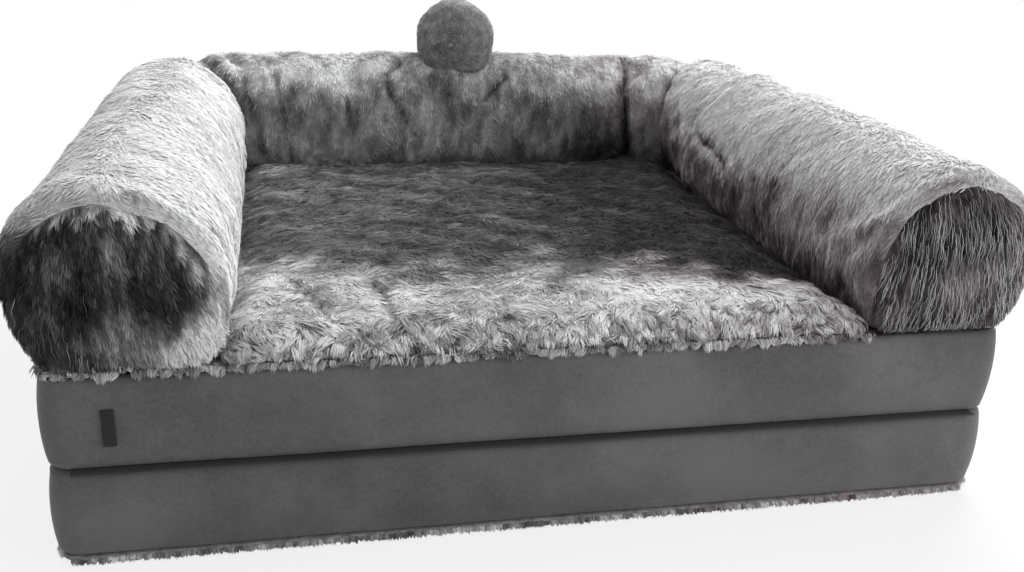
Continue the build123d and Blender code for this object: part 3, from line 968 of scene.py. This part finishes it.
def right_panel_tone(points, normals):
    """Dark throughout, under the light locks."""
    return 0.26 + marbled(points, 66, (1, 1, 0.2)) * 0.12


def set_tone(obj, tone):
    """Tones a skin like its pile."""
    give_attribute(obj, "tone", np.clip(tone(points_of(obj), point_normals(obj)), 0, 1))
    give_attribute(obj, "blush", blushed(points_of(obj)))


def bag_and_fill(word, rings):
    """The inner bag and its stuffing, which follow the skin further in."""
    for suffix, inset, material, slot in (
        ("liner", 18 * MM, lining, "lining"),
        ("fill", 21 * MM, wadding, "wadding"),
    ):
        body = swept(f"{word}_{suffix}_body", rings(inset))
        dress(body, material, "sofa", slot, f"{word}_{suffix}")


def mirrored(rings, side):
    """Rings of the right arm as they are on the given side, still wound outward."""
    return rings if side > 0 else [ring[::-1] * (-1, 1, 1) for ring in rings]


def make_arm(word, side):
    """One arm: its skin, its end panel, its inner bag, and the pile."""
    body = swept(f"{word}_arm_body", mirrored(arm_rings(side), side))
    body = inflated(body, cloth_voxel, 9 * MM, sewn_arm(side), 0.012)
    roughen(body, ((95 * MM, 2.0 * MM), (34 * MM, 0.7 * MM)), 43 + side, above_deck)
    if side > 0:
        dent(body, 4 * MM, in_arm_folds)
    cut_across(body, panel_seam_y)
    skin = only_faces(body, lambda p: p[:, 1] >= panel_seam_y, f"{word}_arm_skin")
    panel = only_faces(body, lambda p: p[:, 1] < panel_seam_y, f"{word}_arm_end")
    bpy.data.objects.remove(body)
    dress(skin, plush_skin, "sofa", "arm_plush", f"{word}_arm_cover", padded=0.8)
    dress(panel, plush_skin, "sofa", "end_plush", f"{word}_arm_end_panel", padded=0.8)
    panel_tone = right_panel_tone if side > 0 else left_panel_tone
    set_tone(skin, arm_tone(side))
    set_tone(panel, panel_tone)
    bag_and_fill(f"{word}_arm", lambda inset: mirrored(arm_rings(side, inset), side))

    def outside(points, normals):
        return (points[:, 2] > deck_top + 1 * MM) & (np.abs(beyond_mitre(points, side)) > 1 * MM)

    coat(
        f"{word}_arm", skin, "sofa", "arm_plush", 51 + side, (21000, 50000), arm_comb(side), arm_tone(side),
        outside, 11 * MM, 1.6 * MM,
    )
    if side > 0:
        seam_thread(skin)
    coat(
        f"{word}_arm_end", panel, "sofa", "end_plush", 61 + side, (6500, 11000), panel_comb(side), panel_tone,
        lambda p, n: n[:, 1] < 0.3, 11 * MM, 1.5 * MM,
    )
    count, low_only, shade = (740, 0, 0.86) if side > 0 else (90, 1, 0.45)

    def facing(points, normals):
        inside = (normals[:, 1] < -0.6) & (np.abs(points[:, 0] - side * bolster_x) < 84 * MM)
        return inside * (1 - low_only * step(0.26, 0.3, points[:, 2]))

    place, normal = scatter(panel, count, 67, facing)
    light = shade + 0.17 * waves(place, 25 * MM, 68)
    locks = long_locks(
        f"{word}_arm_end_locks", panel, place, panel_comb(side)(place), light, 69,
        34 * MM, 0.62 * MM, 3.5 * MM, 0.2,
    )
    dress(locks, plush, "sofa", "end_plush")


def seam_thread(skin):
    """The light thread that lies across the right arm's inner flank."""
    surface = surface_of(skin)
    rough = np.array(arm_thread)
    share = np.linspace(0, len(rough) - 1, 48)
    line = np.stack([np.interp(share, np.arange(len(rough)), rough[:, k]) for k in range(3)], 1)
    over = []
    for spot in line:
        near, out, _, _ = surface.find_nearest(Vector(spot))
        over.append(near + out * 4.5 * MM)
    smooth = np.array([tuple(p) for p in over])
    for _ in range(6):
        smooth[1:-1] = (smooth[:-2] + 2 * smooth[1:-1] + smooth[2:]) / 4
    dress(tube("right_arm_thread", smooth, 0.8 * MM), thread, "sofa", "arm_plush")


for word, side in (("right", 1), ("left", -1)):
    make_arm(word, side)

back_skin = swept("back_skin", back_rings())
back_skin = inflated(back_skin, cloth_voxel, 9 * MM, sewn_back, 0.012)
roughen(back_skin, ((110 * MM, 2.4 * MM), (34 * MM, 0.8 * MM)), 73, above_deck)
dent(back_skin, 5 * MM, in_back_folds)
seat_zip(back_skin, "bolster")
dress(back_skin, plush_skin, "sofa", "back_plush", "back_cover", padded=0.8)
set_tone(back_skin, back_tone)
bag_and_fill("back", back_rings)


def between_mitres(points, normals):
    """The parts of the back's skin that show."""
    mitre = np.minimum(beyond_mitre(points, 1), beyond_mitre(points, -1))
    bare = on_zip(points, "bolster", 1 * MM, 8 * MM)
    return (points[:, 2] > deck_top + 1 * MM) & (mitre > 1 * MM) & ~bare


coat(
    "back", back_skin, "sofa", "back_plush", 75, (21000, 50000), back_comb, back_tone, between_mitres,
    11 * MM, 1.6 * MM,
)


# The mattress layers

corner_radius = 28 * MM
foam_inset = 6.5 * MM
pad_corner = 30 * MM
# How much narrower the pad is drawn on each side, clear of the arms' feet
pad_gap = 9 * MM


def outline(inset, corner, low, high, spacing=6 * MM):
    """Evenly spaced points round a layer's rounded rectangle, drawn in by an inset, counter-clockwise."""
    left, right = low.x + inset, high.x - inset
    front, rear = low.y + inset, high.y - inset
    radius = max(corner - inset, 2 * MM)
    spots = []
    for cx, cy, start in (
        (right - radius, front + radius, -90),
        (right - radius, rear - radius, 0),
        (left + radius, rear - radius, 90),
        (left + radius, front + radius, 180),
    ):
        for turn in np.linspace(0, 90, 13):
            angle = radians(start + turn)
            spots.append((cx + radius * cos(angle), cy + radius * sin(angle)))
    spots = np.array(spots + spots[:1])
    runs = np.concatenate(([0], np.cumsum(np.linalg.norm(np.diff(spots, axis=0), axis=1))))
    count = int(2 * (high.x - low.x + high.y - low.y) / spacing)
    wanted = np.arange(count) / count * runs[-1]
    return np.stack([np.interp(wanted, runs, spots[:, k]) for k in range(2)], 1)


def layer_body(name, low, high, profile):
    """A closed body of one layer through a profile of (inset, height) steps, from underside to top."""
    rings = []
    for inset, z in profile:
        ring = outline(inset, corner_radius, low, high)
        rings.append(np.column_stack([ring, np.full(len(ring), z)]))
    return swept(name, rings)


def band_profile(bottom, top, draw=5 * MM):
    """A band's side: drawn in at its seams, fullest at half height, with rolled edges."""
    roll = 5 * MM
    steps = [(120 * MM, bottom), (60 * MM, bottom), (24 * MM, bottom), (draw + roll, bottom)]
    for share in sorted([*np.linspace(0, 1, 23), 0.447, 0.553]):
        z = bottom + share * (top - bottom)
        bulge = draw * (2 * share - 1) ** 2
        edge = min(z - bottom, top - z)
        rolled = roll * (1 - sqrt(1 - max(0, 1 - edge / roll) ** 2))
        steps.append((bulge + rolled, z))
    steps += [(draw + roll, top), (24 * MM, top), (60 * MM, top), (120 * MM, top)]
    return steps


def band_wrinkles(obj, seed, bottom, top):
    """Gathers near both seams and a slow waviness, only on the upright sides."""
    co, normal = points_of(obj), point_normals(obj)
    upright = 1 - np.clip(np.abs(normal[:, 2]) * 1.5, 0, 1)
    seam = np.exp(-np.minimum(co[:, 2] - bottom, top - co[:, 2]) / (12 * MM))
    flat = co * (1, 1, 0.15)
    lift = 0.9 * MM * waves(co, 160 * MM, seed) + 0.35 * MM * seam * waves(flat, 17 * MM, seed + 1, 16)
    set_points(obj, co + normal * (lift * upright)[:, None])


layers = (("lower", "base", lower_low, lower_high, 81), ("upper", "sofa", upper_low, upper_high, 83))
for word, body, low, high, seed in layers:
    band = layer_body(f"{word}_band", low, high, band_profile(low.z, high.z))
    band_wrinkles(band, seed, low.z, high.z)
    seat_zip(band, word)
    dress(band, suede, body, "suede_band", f"{word}_cover", padded=0.9)
    inset = Vector((foam_inset, foam_inset, foam_inset))
    profile = band_profile(low.z + foam_inset, high.z - foam_inset, 6 * MM)
    block = layer_body(f"{word}_foam_block", low + inset, high - inset, profile)
    dress(block, foam, body, "foam", f"{word}_foam")


def plush_plate(name, low, high, draw):
    """A thin plush-covered plate with rolled edges over the whole layer."""
    half = (high.z - low.z) / 2
    across = np.linspace(60 * MM, 400 * MM, 14)
    steps = [(inset, low.z) for inset in across[::-1]] + [(draw + half, low.z)]
    for angle in np.linspace(-70, 70, 8):
        steps.append((draw + half * (1 - cos(radians(angle))), low.z + half + half * sin(radians(angle))))
    steps += [(draw + half, high.z)] + [(inset, high.z) for inset in across]
    return layer_body(name, low, high, steps)


deck = plush_plate("seat_deck", deck_low, deck_high, 1 * MM)
dress(deck, plush_skin, "sofa", "seat_plush", "seat_deck_plush", padded=0.9)


def towards_edge(points, low, high):
    """The outward direction at a layer's edge, in the plane."""
    middle, half = (low + high) / 2, (high - low) / 2
    x = (points[:, 0] - middle.x) / half.x
    y = (points[:, 1] - middle.y) / half.y
    near_x, near_y = step(0.9, 0.99, np.abs(x)), step(0.9, 0.99, np.abs(y))
    return np.stack([np.sign(x) * near_x, np.sign(y) * near_y, np.zeros(len(points))], 1)


def edge_distance(points, low, high):
    """How far rows of points are inside a layer's outline."""
    return np.minimum.reduce(
        [points[:, 0] - low.x, high.x - points[:, 0], points[:, 1] - low.y, high.y - points[:, 1]]
    )


def rim_tone(points, normals):
    """The deck's rim is light, with painted shade under the right arm's end."""
    # Painted shade under the right arm's end panel
    return 0.72 + marbled(points, 93) * 0.14 - 0.6 * step(0.33, 0.34, points[:, 0]) * (points[:, 1] < -0.4)


def front_tone(points, normals):
    """The seat's rounded front edge, with painted shade in the hollows between its locks and low down by the
    deck.
    """
    # Painted shade low down, by the deck
    low = step(deck_top + 20 * MM, deck_top, points[:, 2])
    # Painted shade in the hollows between the locks
    lock_hollow_shade = waves(points, 9 * MM, 127, 18) + waves(points, 20 * MM, 128)
    return 0.86 - 0.16 * low + (0.08 + 0.04 * low) * lock_hollow_shade + 0.06 * waves(points, 90 * MM, 129)


def deck_rim(points, normals):
    """The rounded edge of the deck, without its underside, and bare under the right arm's end."""
    bare = (points[:, 0] > bolster_x - 0.9 * bolster_radius) & (points[:, 1] < deck_low.y + 40 * MM)
    return (edge_distance(points, deck_low, deck_high) < 12 * MM) & (normals[:, 2] > -0.7) & ~bare


def rim_comb(points):
    """The rim's pile turns over the edge and hangs down."""
    sideways = np.outer(0.5 * waves(points, 26 * MM, 97), (1, 0, 0))
    return towards_edge(points, deck_low, deck_high) + sideways + (0, 0, -0.5)


def rear_corners(points, normals):
    """The deck outside the rounded corners of the bolsters."""
    x, y = np.abs(points[:, 0]) - bend_x, points[:, 1] - bend_y
    return (np.hypot(x, y) > bend + 0.75 * bolster_radius) & (x > 0) & (y > 0) & (normals[:, 2] > 0.5)


def corner_comb(points):
    """The pile of the deck's rear corners lies outward, away from the bolsters."""
    x = points[:, 0] - np.sign(points[:, 0]) * bend_x
    return np.stack([x, points[:, 1] - bend_y + 40 * MM * waves(points, 40 * MM, 147), 0 * x], 1)


# The deck's skin is painted darker, as shade under the pad and the bolsters, except at its rear corners
set_tone(deck, lambda p, n: np.where(p[:, 1] > bend_y, 0.85, 0.45) * rim_tone(p, n))
coat(
    "deck_corner", deck, "sofa", "seat_plush", 145, (3600, 6000), corner_comb, rim_tone, rear_corners,
    12 * MM, 1.8 * MM, stray=0.4,
)
coat(
    "seat_deck", deck, "sofa", "seat_plush", 91, (14000, 20000), rim_comb, front_tone, deck_rim,
    13 * MM, 1.9 * MM, lean=(16, -40), stray=0.4, lock=(20, 0.6),
)

underside_rise = 3.5 * MM
underside_box = (Vector((under_low.x, under_low.y, underside_rise)), under_high)
underside = plush_plate("underside", *underside_box, 1 * MM)
dress(underside, plush_skin, "base", "underside_plush", "underside_plush", padded=0.9)


def underside_tone(points, normals):
    """The plush under the lower layer, with lighter and darker locks along its edge."""
    return 0.7 + marbled(points, 105, (1, 1, 0.3)) * 0.2


def underside_comb(points):
    """The pile of the underside swirls on the flat and hangs down at the edge."""
    swirl = np.column_stack([waves(points, 90 * MM, 103), waves(points, 90 * MM, 104), np.zeros(len(points))])
    edge = step(8 * MM, 3 * MM, edge_distance(points, under_low, under_high))[:, None]
    return swirl * (1 - edge) + edge * (towards_edge(points, under_low, under_high) * 0.2 + (0, 0, -1.0))


def underside_flat(points, normals):
    """The face that lies on the floor and shows when the bed is folded out."""
    return (normals[:, 2] < -0.5) * 1.0


def underside_edge(points, normals):
    """The edge that shows all round."""
    return (edge_distance(points, under_low, under_high) < 6 * MM) * (np.abs(normals[:, 2]) < 0.95) * 1.0


set_tone(underside, lambda points, normals: np.full(len(points), 0.66))
for word, keep, count, bent, length, lean in (
    ("underside_pile", underside_flat, 22000, True, 13 * MM, (9, 4)),
    ("underside_undercoat", underside_flat, 62000, False, 12 * MM, (12, 5)),
    ("underside_edge_pile", underside_edge, 20000, True, 7 * MM, (18, -6)),
):
    place, normal = scatter(underside, count, 101, keep)
    tone = underside_tone(place, normal)
    comb = underside_comb(place)
    strands = pile(word, place, normal, comb, tone, 107, length, 2.2 * MM, lean, bent=bent, floor=0)
    dress(strands, plush, "base", "underside_plush")


# The seat pad

# The pad's rings, from its underside to its crown: how far drawn in, in mm, and the share of the height
pad_profile = (
    (190, 0.0), (90, 0.0), (3, 0.0), (0.5, 0.1), (0.5, 0.2), (2.5, 0.31), (7, 0.42), (15, 0.52), (28, 0.61),
    (45, 0.7), (70, 0.79), (100, 0.87), (125, 0.91), (150, 0.94), (175, 0.96), (200, 0.975), (225, 0.985),
    (250, 0.99), (275, 0.995), (300, 1.0), (320, 1.0),
)
# The border between the seat's light front and the painted shade of the back and the right arm behind it:
# places in x and y
seat_shade_border_x = (-0.322, -0.253, -0.192, -0.13, -0.054, 0.051, 0.092, 0.135, 0.2, 0.276, 0.33)
# The painted shade's tones at places in x
seat_shade_x = (-0.3, -0.1, 0.0, 0.06, 0.14, 0.22, 0.32)
seat_shade_tones = (0.4, 0.32, 0.29, 0.2, 0.05, 0.02, 0.12)
seat_shade_border_y = (-0.14, -0.2, -0.255, -0.27, -0.262, -0.255, -0.255, -0.262, -0.285, -0.32, -0.355)
# Creases and brushed streaks of the seat: start and end in plan
pad_creases = (((-0.259, -0.294), (-0.206, -0.45)), ((-0.18, -0.302), (-0.158, -0.425)))
pad_smear = ((0.06, -0.385), (0.16, -0.375))
pad_streaks = (((-0.307, -0.335), (-0.286, -0.44)), ((0.09, -0.41), (0.118, -0.31)))


def pad_body(name, inset, sink):
    """The crowned pad: rings over its plan, highest in the middle, closed flat below. Its fill is drawn in on
    all sides by an inset and sinks by so much below its crown."""
    low = Vector((pad_low.x + pad_gap + inset, deck_low.y + 2 * MM + inset, 0))
    high = Vector((pad_high.x - pad_gap - inset, pad_high.y - inset, 0))
    rings = []
    height = pad_high.z - deck_top - sink
    for drawn, lift in pad_profile:
        ring = outline(drawn * MM, pad_corner, low, high, spacing=9 * MM)
        rings.append(np.column_stack([ring, np.full(len(ring), deck_top + 0.1 * sink + lift * height)]))
    return swept(name, rings)


dress(pad_body("seat_pad_quilting", 10 * MM, 10 * MM), wadding, "sofa", "wadding", "seat_pad_fill")
seat_pad = pad_body("seat_pad", 0, 0)
seat_pad = inflated(seat_pad, cloth_voxel, 8 * MM, lambda p: p[:, 2] < deck_top + 3 * MM, 0.01)
roughen(seat_pad, ((140 * MM, 2.0 * MM), (34 * MM, 1.0 * MM)), 113, above_deck)
co = points_of(seat_pad)
co[:, 2] -= 4 * MM * near_paths(co[:, :2], pad_creases, 7 * MM) * above_deck(co)
set_points(seat_pad, co)
dress(seat_pad, plush_skin, "sofa", "seat_plush", "seat_pad_cover", padded=0.6)


def seat_comb(points):
    """The seat's pile swirls, and lies forward on the whole."""
    swirl_x, swirl_y = waves(points, 70 * MM, 121), waves(points, 70 * MM, 122)
    edge = step(deck_low.y + 60 * MM, deck_low.y + 10 * MM, points[:, 1])
    return np.stack([(1.1 - 0.5 * edge) * swirl_x, -0.9 + 0.8 * swirl_y * (1 - edge) - edge, -0.6 * edge], 1)


def seat_tone(points, normals):
    """The seat is light in front, and painted dark behind and along the right arm, as the shade of the back
    and the right arm.
    """
    border = np.interp(points[:, 0], seat_shade_border_x, seat_shade_border_y) + 0.02 * waves(points, 60 * MM, 117)
    behind = points[:, 1] - border
    # Painted shade over the rear of the seat
    rear = step(-95 * MM, 35 * MM, behind)
    tone = 0.87 + (np.interp(points[:, 0], seat_shade_x, seat_shade_tones) - 0.87) * rear
    left_rear = step(-0.2, -0.3, points[:, 0]) * step(0.02, 0.06, points[:, 1])
    tone = tone + 0.16 * left_rear * np.sin(points[:, 1] / (5 * MM)) ** 2
    # Painted shade in the seat's creases
    tone = tone - 0.3 * near_paths(points[:, :2], pad_creases, 5 * MM)
    tone = tone + 0.15 * near_paths(points[:, :2], pad_streaks, 7 * MM)
    tone = tone + 0.12 * near_paths(points[:, :2], [pad_smear], 45 * MM)
    return tone + marbled(points, 119, (0.4, 1, 0.4)) * (0.13 - 0.04 * rear)




def pad_skin_tone(points, normals):
    """The pad's skin is toned like its pile, with painted shade under its front edge."""
    edge = step(deck_low.y + 14 * MM, deck_low.y + 4 * MM, points[:, 1])
    # Painted shade under the front edge
    return seat_tone(points, normals) * (1 - 0.55 * edge)


set_tone(seat_pad, pad_skin_tone)
coat(
    "seat_pad", seat_pad, "sofa", "seat_plush", 115, (21500, 60000), seat_comb, seat_tone,
    lambda p, n: n[:, 2] > -0.2, 12 * MM, 1.8 * MM, lean=(22, 6), stray=0.3, lock=(9, 0.45),
)
coat(
    "seat_front", seat_pad, "sofa", "seat_plush", 125, (8000, 12000), rim_comb, front_tone,
    lambda p, n: step(-0.12, -0.4, n[:, 1]) * (p[:, 1] < deck_low.y + 45 * MM), 17 * MM, 2.0 * MM,
    lean=(30, -6), stray=0.45, lock=(20, 0.6),
)


# The head cushion


def from_back_axis(points):
    """How far rows of points are from the axis of the back's bolster."""
    return np.linalg.norm(points[:, 1:] - (bolster_y, bolster_axis_z), axis=1)


def head_body():
    """The stuffed disc: round above, straight-sided below, hollowed where it sits on the back."""
    half_thick = (head_high.y - head_low.y) / 2
    radius = (head_high.x - head_low.x) / 2
    rings = []
    angles = np.linspace(0, 2 * pi, 65)[:-1]
    x, z = np.sin(angles), np.cos(angles)
    x = np.where(z < 0, np.sign(x) * np.abs(x) ** 0.45, x)
    for turn in np.linspace(-84, 84, 25):
        size = radius * cos(radians(turn)) ** 0.6
        y = head_y + half_thick * sin(radians(turn))
        rings.append(np.stack([size * x, np.full(64, y), head_z + size * z], 1))
    body = swept("head_cushion", rings)
    co = points_of(body)
    off = co[:, 1:] - (bolster_y, bolster_axis_z)
    away = from_back_axis(co)
    out = np.maximum(away, bolster_radius - 4 * MM)
    co[:, 1:] = (bolster_y, bolster_axis_z) + off * (out / np.maximum(away, 1e-6))[:, None]
    set_points(body, co)
    return body


def head_comb(points):
    """Short pile in a swirl about the middle of each face."""
    spoke = np.stack([points[:, 0], 0 * points[:, 0], points[:, 2] - head_z], 1)
    swirl = np.stack([-spoke[:, 2], 0 * points[:, 0], spoke[:, 0]], 1)
    return unit(spoke) * 0.4 + unit(swirl) + (0, 0.1, 0) * np.sign(points[:, 1:2] - head_y)


def head_tone(points, normals):
    """A mid grey with faint rings, and painted light on its top, where it faces up."""
    away = np.hypot(points[:, 0], points[:, 2] - head_z)
    rings = 0.03 * np.sin(away / (3 * MM))
    # Painted light where the cushion faces up
    return 0.57 + rings + 0.1 * step(0.5, 1, normals[:, 2]) + marbled(points, 137) * 0.05


def above_back(points, normals):
    """The cushion's skin outside the back that it stands on."""
    return from_back_axis(points) > bolster_radius + 1 * MM


head = head_body()
head = inflated(head, 5 * MM, 6 * MM, lambda p: p[:, 2] < head_low.z + 14 * MM, 0.01)
roughen(head, ((50 * MM, 1.2 * MM), (20 * MM, 0.4 * MM)), 133)
dress(head, plush_skin, "sofa", "back_plush", "headrest_cover", padded=0.8)
set_tone(head, head_tone)
coat(
    "head_cushion", head, "sofa", "back_plush", 135, (9000, 16000), head_comb, head_tone, above_back,
    7 * MM, 1.4 * MM, lean=(20, 5), lock=(6, 0.4),
)


def head_foot(points, normals):
    """The cushion's skin next to the back."""
    away = from_back_axis(points)
    return (away > bolster_radius - 2 * MM) & (away < bolster_radius + 12 * MM)


def foot_comb(points):
    """The pile of the cushion's foot spreads over the back."""
    return np.stack([2 * points[:, 0], 3 * (points[:, 1] - head_y), -0.2 + 0 * points[:, 0]], 1)


coat(
    "head_foot", head, "sofa", "back_plush", 139, (2600, 4200), foot_comb,
    lambda p, n: 0.6 + 0.1 * marbled(p, 141), head_foot, 15 * MM, 1.6 * MM, lean=(14, -14), stray=0.35,
)


# Trims

tab_bow = 0.9 * MM


def folded_tab():
    """The bare side tab: a strip of tape folded double, sewn down at its ends and a little bowed between."""
    thick = 0.5 * MM
    columns, rows = 9, 25
    wide, tall = tab_high.x - tab_low.x, tab_high.z - tab_low.z
    points = []
    for side in (-1, 1):
        for up in np.linspace(0, 1, rows):
            for over in np.linspace(0, 1, columns):
                bow = tab_bow * sin(pi * up) ** 0.7
                bow += 0.3 * MM * sin(pi * over) + 0.25 * MM * sin(9 * up + 2 * over)
                y = tab_high.y - 0.9 * MM - bow + side * thick / 2
                points.append((tab_low.x + over * wide, y, tab_low.z + up * tall))
    front = sheet_faces(rows, columns)
    sheet, last = columns * rows, columns - 1
    faces = front + [tuple(sheet + corner for corner in face[::-1]) for face in front]
    edge = list(range(columns)) + [j * columns + last for j in range(1, rows)]
    edge += [(rows - 1) * columns + i for i in range(last - 1, -1, -1)]
    edge += [j * columns for j in range(rows - 2, 0, -1)]
    for first, second in zip(edge, edge[1:] + edge[:1]):
        faces.append((second, first, sheet + first, sheet + second))
    return mesh_object("side_tab_tape", points, faces)


dress(folded_tab(), tab_tape, "sofa", "tab_tape", "side_tab")

coil_pitch = 2.4 * MM
coil_steps = 10


def zip_coil_pair(word, body):
    """A closed zip's two coils, whose turns mesh along the middle."""
    low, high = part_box(f"{word}_zip_coils")
    deep, tall = (high.y - low.y) / 2, (high.z - low.z) / 2
    middle = (low + high) / 2
    turns = int((high.x - low.x - 1 * MM) / coil_pitch)
    angle = np.arange(turns * coil_steps) / coil_steps * 2 * pi
    wire = min(deep, tall / 2) * 0.42
    meshes = []
    for k, half in enumerate((-1, 1)):
        reach = tall * 0.56 - wire
        line = np.column_stack([
            low.x + 0.5 * MM + coil_pitch * (angle / (2 * pi) + 0.5 * k),
            middle.y + (deep - wire) * np.sin(angle),
            middle.z + half * tall * 0.42 + reach * half * np.cos(angle),
        ])
        meshes.append(tube(f"{word}_coil_{k}", line, wire, 5))
    joined = join(f"{word}_zip_teeth", meshes)
    dress(joined, zip_coil, body, "zip_coil", f"{word}_zip_coils")


def join(name, objects):
    """One object of several meshes."""
    points, faces, base = [], [], 0
    for obj in objects:
        points.append(points_of(obj))
        faces += [tuple(base + v for v in p.vertices) for p in obj.data.polygons]
        base += len(obj.data.vertices)
        bpy.data.objects.remove(obj)
    return mesh_object(name, np.concatenate(points), faces)


for word, body in (("lower", "base"), ("upper", "sofa"), ("bolster", "sofa")):
    zip_coil_pair(word, body)


def hinge_fold():
    """The cloth fold between the two leaves of the hinge, inside its welt."""
    profile = ((5, 0.15), (2.5, 0.16), (0.4, 0.12), (0.0, 0.0), (0.4, -0.12), (2.5, -0.16), (5, -0.15))
    count = 120
    points = []
    for x in np.linspace(leaf_low.x + 2 * MM, leaf_high.x - 2 * MM, count):
        points += [(x, fold_y + back * MM, fold_z + up * MM) for back, up in profile]
    fold = mesh_object("fold_hinge_gusset", points, sheet_faces(count, len(profile)))
    fold.data.materials.append(hinge_cloth)
    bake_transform(fold)


hinge_fold()


# Carried-over nodes and their finishes

finishes = {
    "suede_band": suede,
    "foam": foam,
    "wadding": wadding,
    "lining": lining,
    "hinge_cloth": hinge_cloth,
    "tab_tape": tab_tape,
    "zip_tape": zip_tape,
    "zip_coil": zip_coil,
    "zip_metal": zip_metal,
}
for piece in frame["record"]["subparts"]:
    obj = frame["nodes"][piece["node"]]
    obj.data.materials.clear()
    obj.data.materials.append(finishes.get(piece["material_slot"], plush_skin))
welt = frame["nodes"]["fold_hinge_welt"]
welt.data.materials.clear()
welt.data.materials.append(welt_cloth)


# Camera, lights and floor

camera_place = Vector((-0.263, -1.3636, 0.63))
camera_yaw, camera_pitch, camera_roll = radians(12.5), radians(20.5), radians(2.3)
focal_pixels, frame_pixels, sensor = 1060, 1024, 36


def aimed_camera():
    """The camera at the photograph's viewing angle."""
    level_share = cos(camera_pitch)
    ahead = Vector((sin(camera_yaw) * level_share, cos(camera_yaw) * level_share, -sin(camera_pitch)))
    level = Vector((cos(camera_yaw), -sin(camera_yaw), 0))
    above = level.cross(ahead)
    right = level * cos(camera_roll) + above * sin(camera_roll)
    up = above * cos(camera_roll) - level * sin(camera_roll)
    data = bpy.data.cameras.new("camera")
    data.sensor_width = sensor
    data.lens = focal_pixels / frame_pixels * sensor
    data.clip_start = 0.05
    obj = bpy.data.objects.new("camera", data)
    bpy.context.scene.collection.objects.link(obj)
    obj.matrix_world = Matrix.Translation(camera_place) @ Matrix((right, up, -ahead)).transposed().to_4x4()
    bpy.context.scene.camera = obj


def lamp(name, place, target, size, power):
    """A soft square lamp that looks at a point."""
    data = bpy.data.lights.new(name, "AREA")
    data.size = size
    data.energy = power
    obj = bpy.data.objects.new(name, data)
    bpy.context.scene.collection.objects.link(obj)
    obj.location = place
    obj.rotation_euler = (Vector(target) - Vector(place)).to_track_quat("-Z", "Y").to_euler()


def seen_directly(tree):
    """1 for what the camera sees, also in gloss and through glass, and 0 for light that falls on things."""
    path = tree.nodes.new("ShaderNodeLightPath")
    gloss = maths(tree, "MAXIMUM", path.outputs["Is Glossy Ray"], path.outputs["Is Transmission Ray"])
    return maths(tree, "MAXIMUM", path.outputs["Is Camera Ray"], gloss)


def blended(tree, factor, first, second, output):
    """A mix of two shaders, to an output."""
    mix = tree.nodes.new("ShaderNodeMixShader")
    tree.links.new(factor, mix.inputs["Fac"])
    tree.links.new(first, mix.inputs[1])
    tree.links.new(second, mix.inputs[2])
    tree.links.new(mix.outputs["Shader"], output)


def studio_world(strength):
    """A world that lights the object evenly and shows white."""
    world = bpy.data.worlds.new("studio")
    world.use_nodes = True
    tree = world.node_tree
    lighting = tree.nodes["Background"]
    lighting.inputs["Color"].default_value = (1, 1, 1, 1)
    lighting.inputs["Strength"].default_value = strength
    shown = node(tree, "ShaderNodeBackground", Color=(1, 1, 1, 1), Strength=1.0)
    output = tree.nodes["World Output"].inputs["Surface"]
    blended(tree, seen_directly(tree), lighting.outputs["Background"], shown.outputs["Background"], output)
    return world


def studio_floor(half, near, far, veil):
    """A white floor that takes the object's shadow under a veil of white, and is all white further off."""
    corners = [(x * half, y * half, 0) for x, y in ((-1, -1), (1, -1), (1, 1), (-1, 1))]
    floor = mesh_object("floor", corners, [(0, 1, 2, 3)])
    material, tree, shader = new_material("floor")
    shader.inputs["Base Color"].default_value = (0.9, 0.9, 0.9, 1)
    shader.inputs["Roughness"].default_value = 0.95
    shader.inputs["Specular IOR Level"].default_value = 0.1
    white = node(tree, "ShaderNodeEmission", Color=(1, 1, 1, 1), Strength=1.0)
    place = object_place(tree)
    length = tree.nodes.new("ShaderNodeVectorMath")
    length.operation = "LENGTH"
    tree.links.new(place, length.inputs[0])
    fade = tree.nodes.new("ShaderNodeMapRange")
    for key, value in (("From Min", near), ("From Max", far), ("To Min", veil), ("To Max", 1.0)):
        fade.inputs[key].default_value = value
    tree.links.new(length.outputs["Value"], fade.inputs["Value"])
    factor = maths(tree, "MULTIPLY", fade.outputs["Result"], seen_directly(tree))
    output = tree.nodes["Material Output"].inputs["Surface"]
    blended(tree, factor, shader.outputs["BSDF"], white.outputs["Emission"], output)
    floor.data.materials.append(material)


aimed_camera()
lamp("key_lamp", (1.45, 1.35, 2.1), (0, 0, 0.2), 1.5, 76)
lamp("top_lamp", (-0.7, 0.5, 2.3), (0.1, 0, 0.2), 1.6, 15)
lamp("fill_lamp", (2.4, -1.7, 1.2), (0.1, 0, 0.2), 2.0, 34)
bpy.context.scene.view_settings.view_transform = "Standard"
bpy.context.scene.world = studio_world(0.38)
studio_floor(6.0, 0.75, 1.6, 0.8)
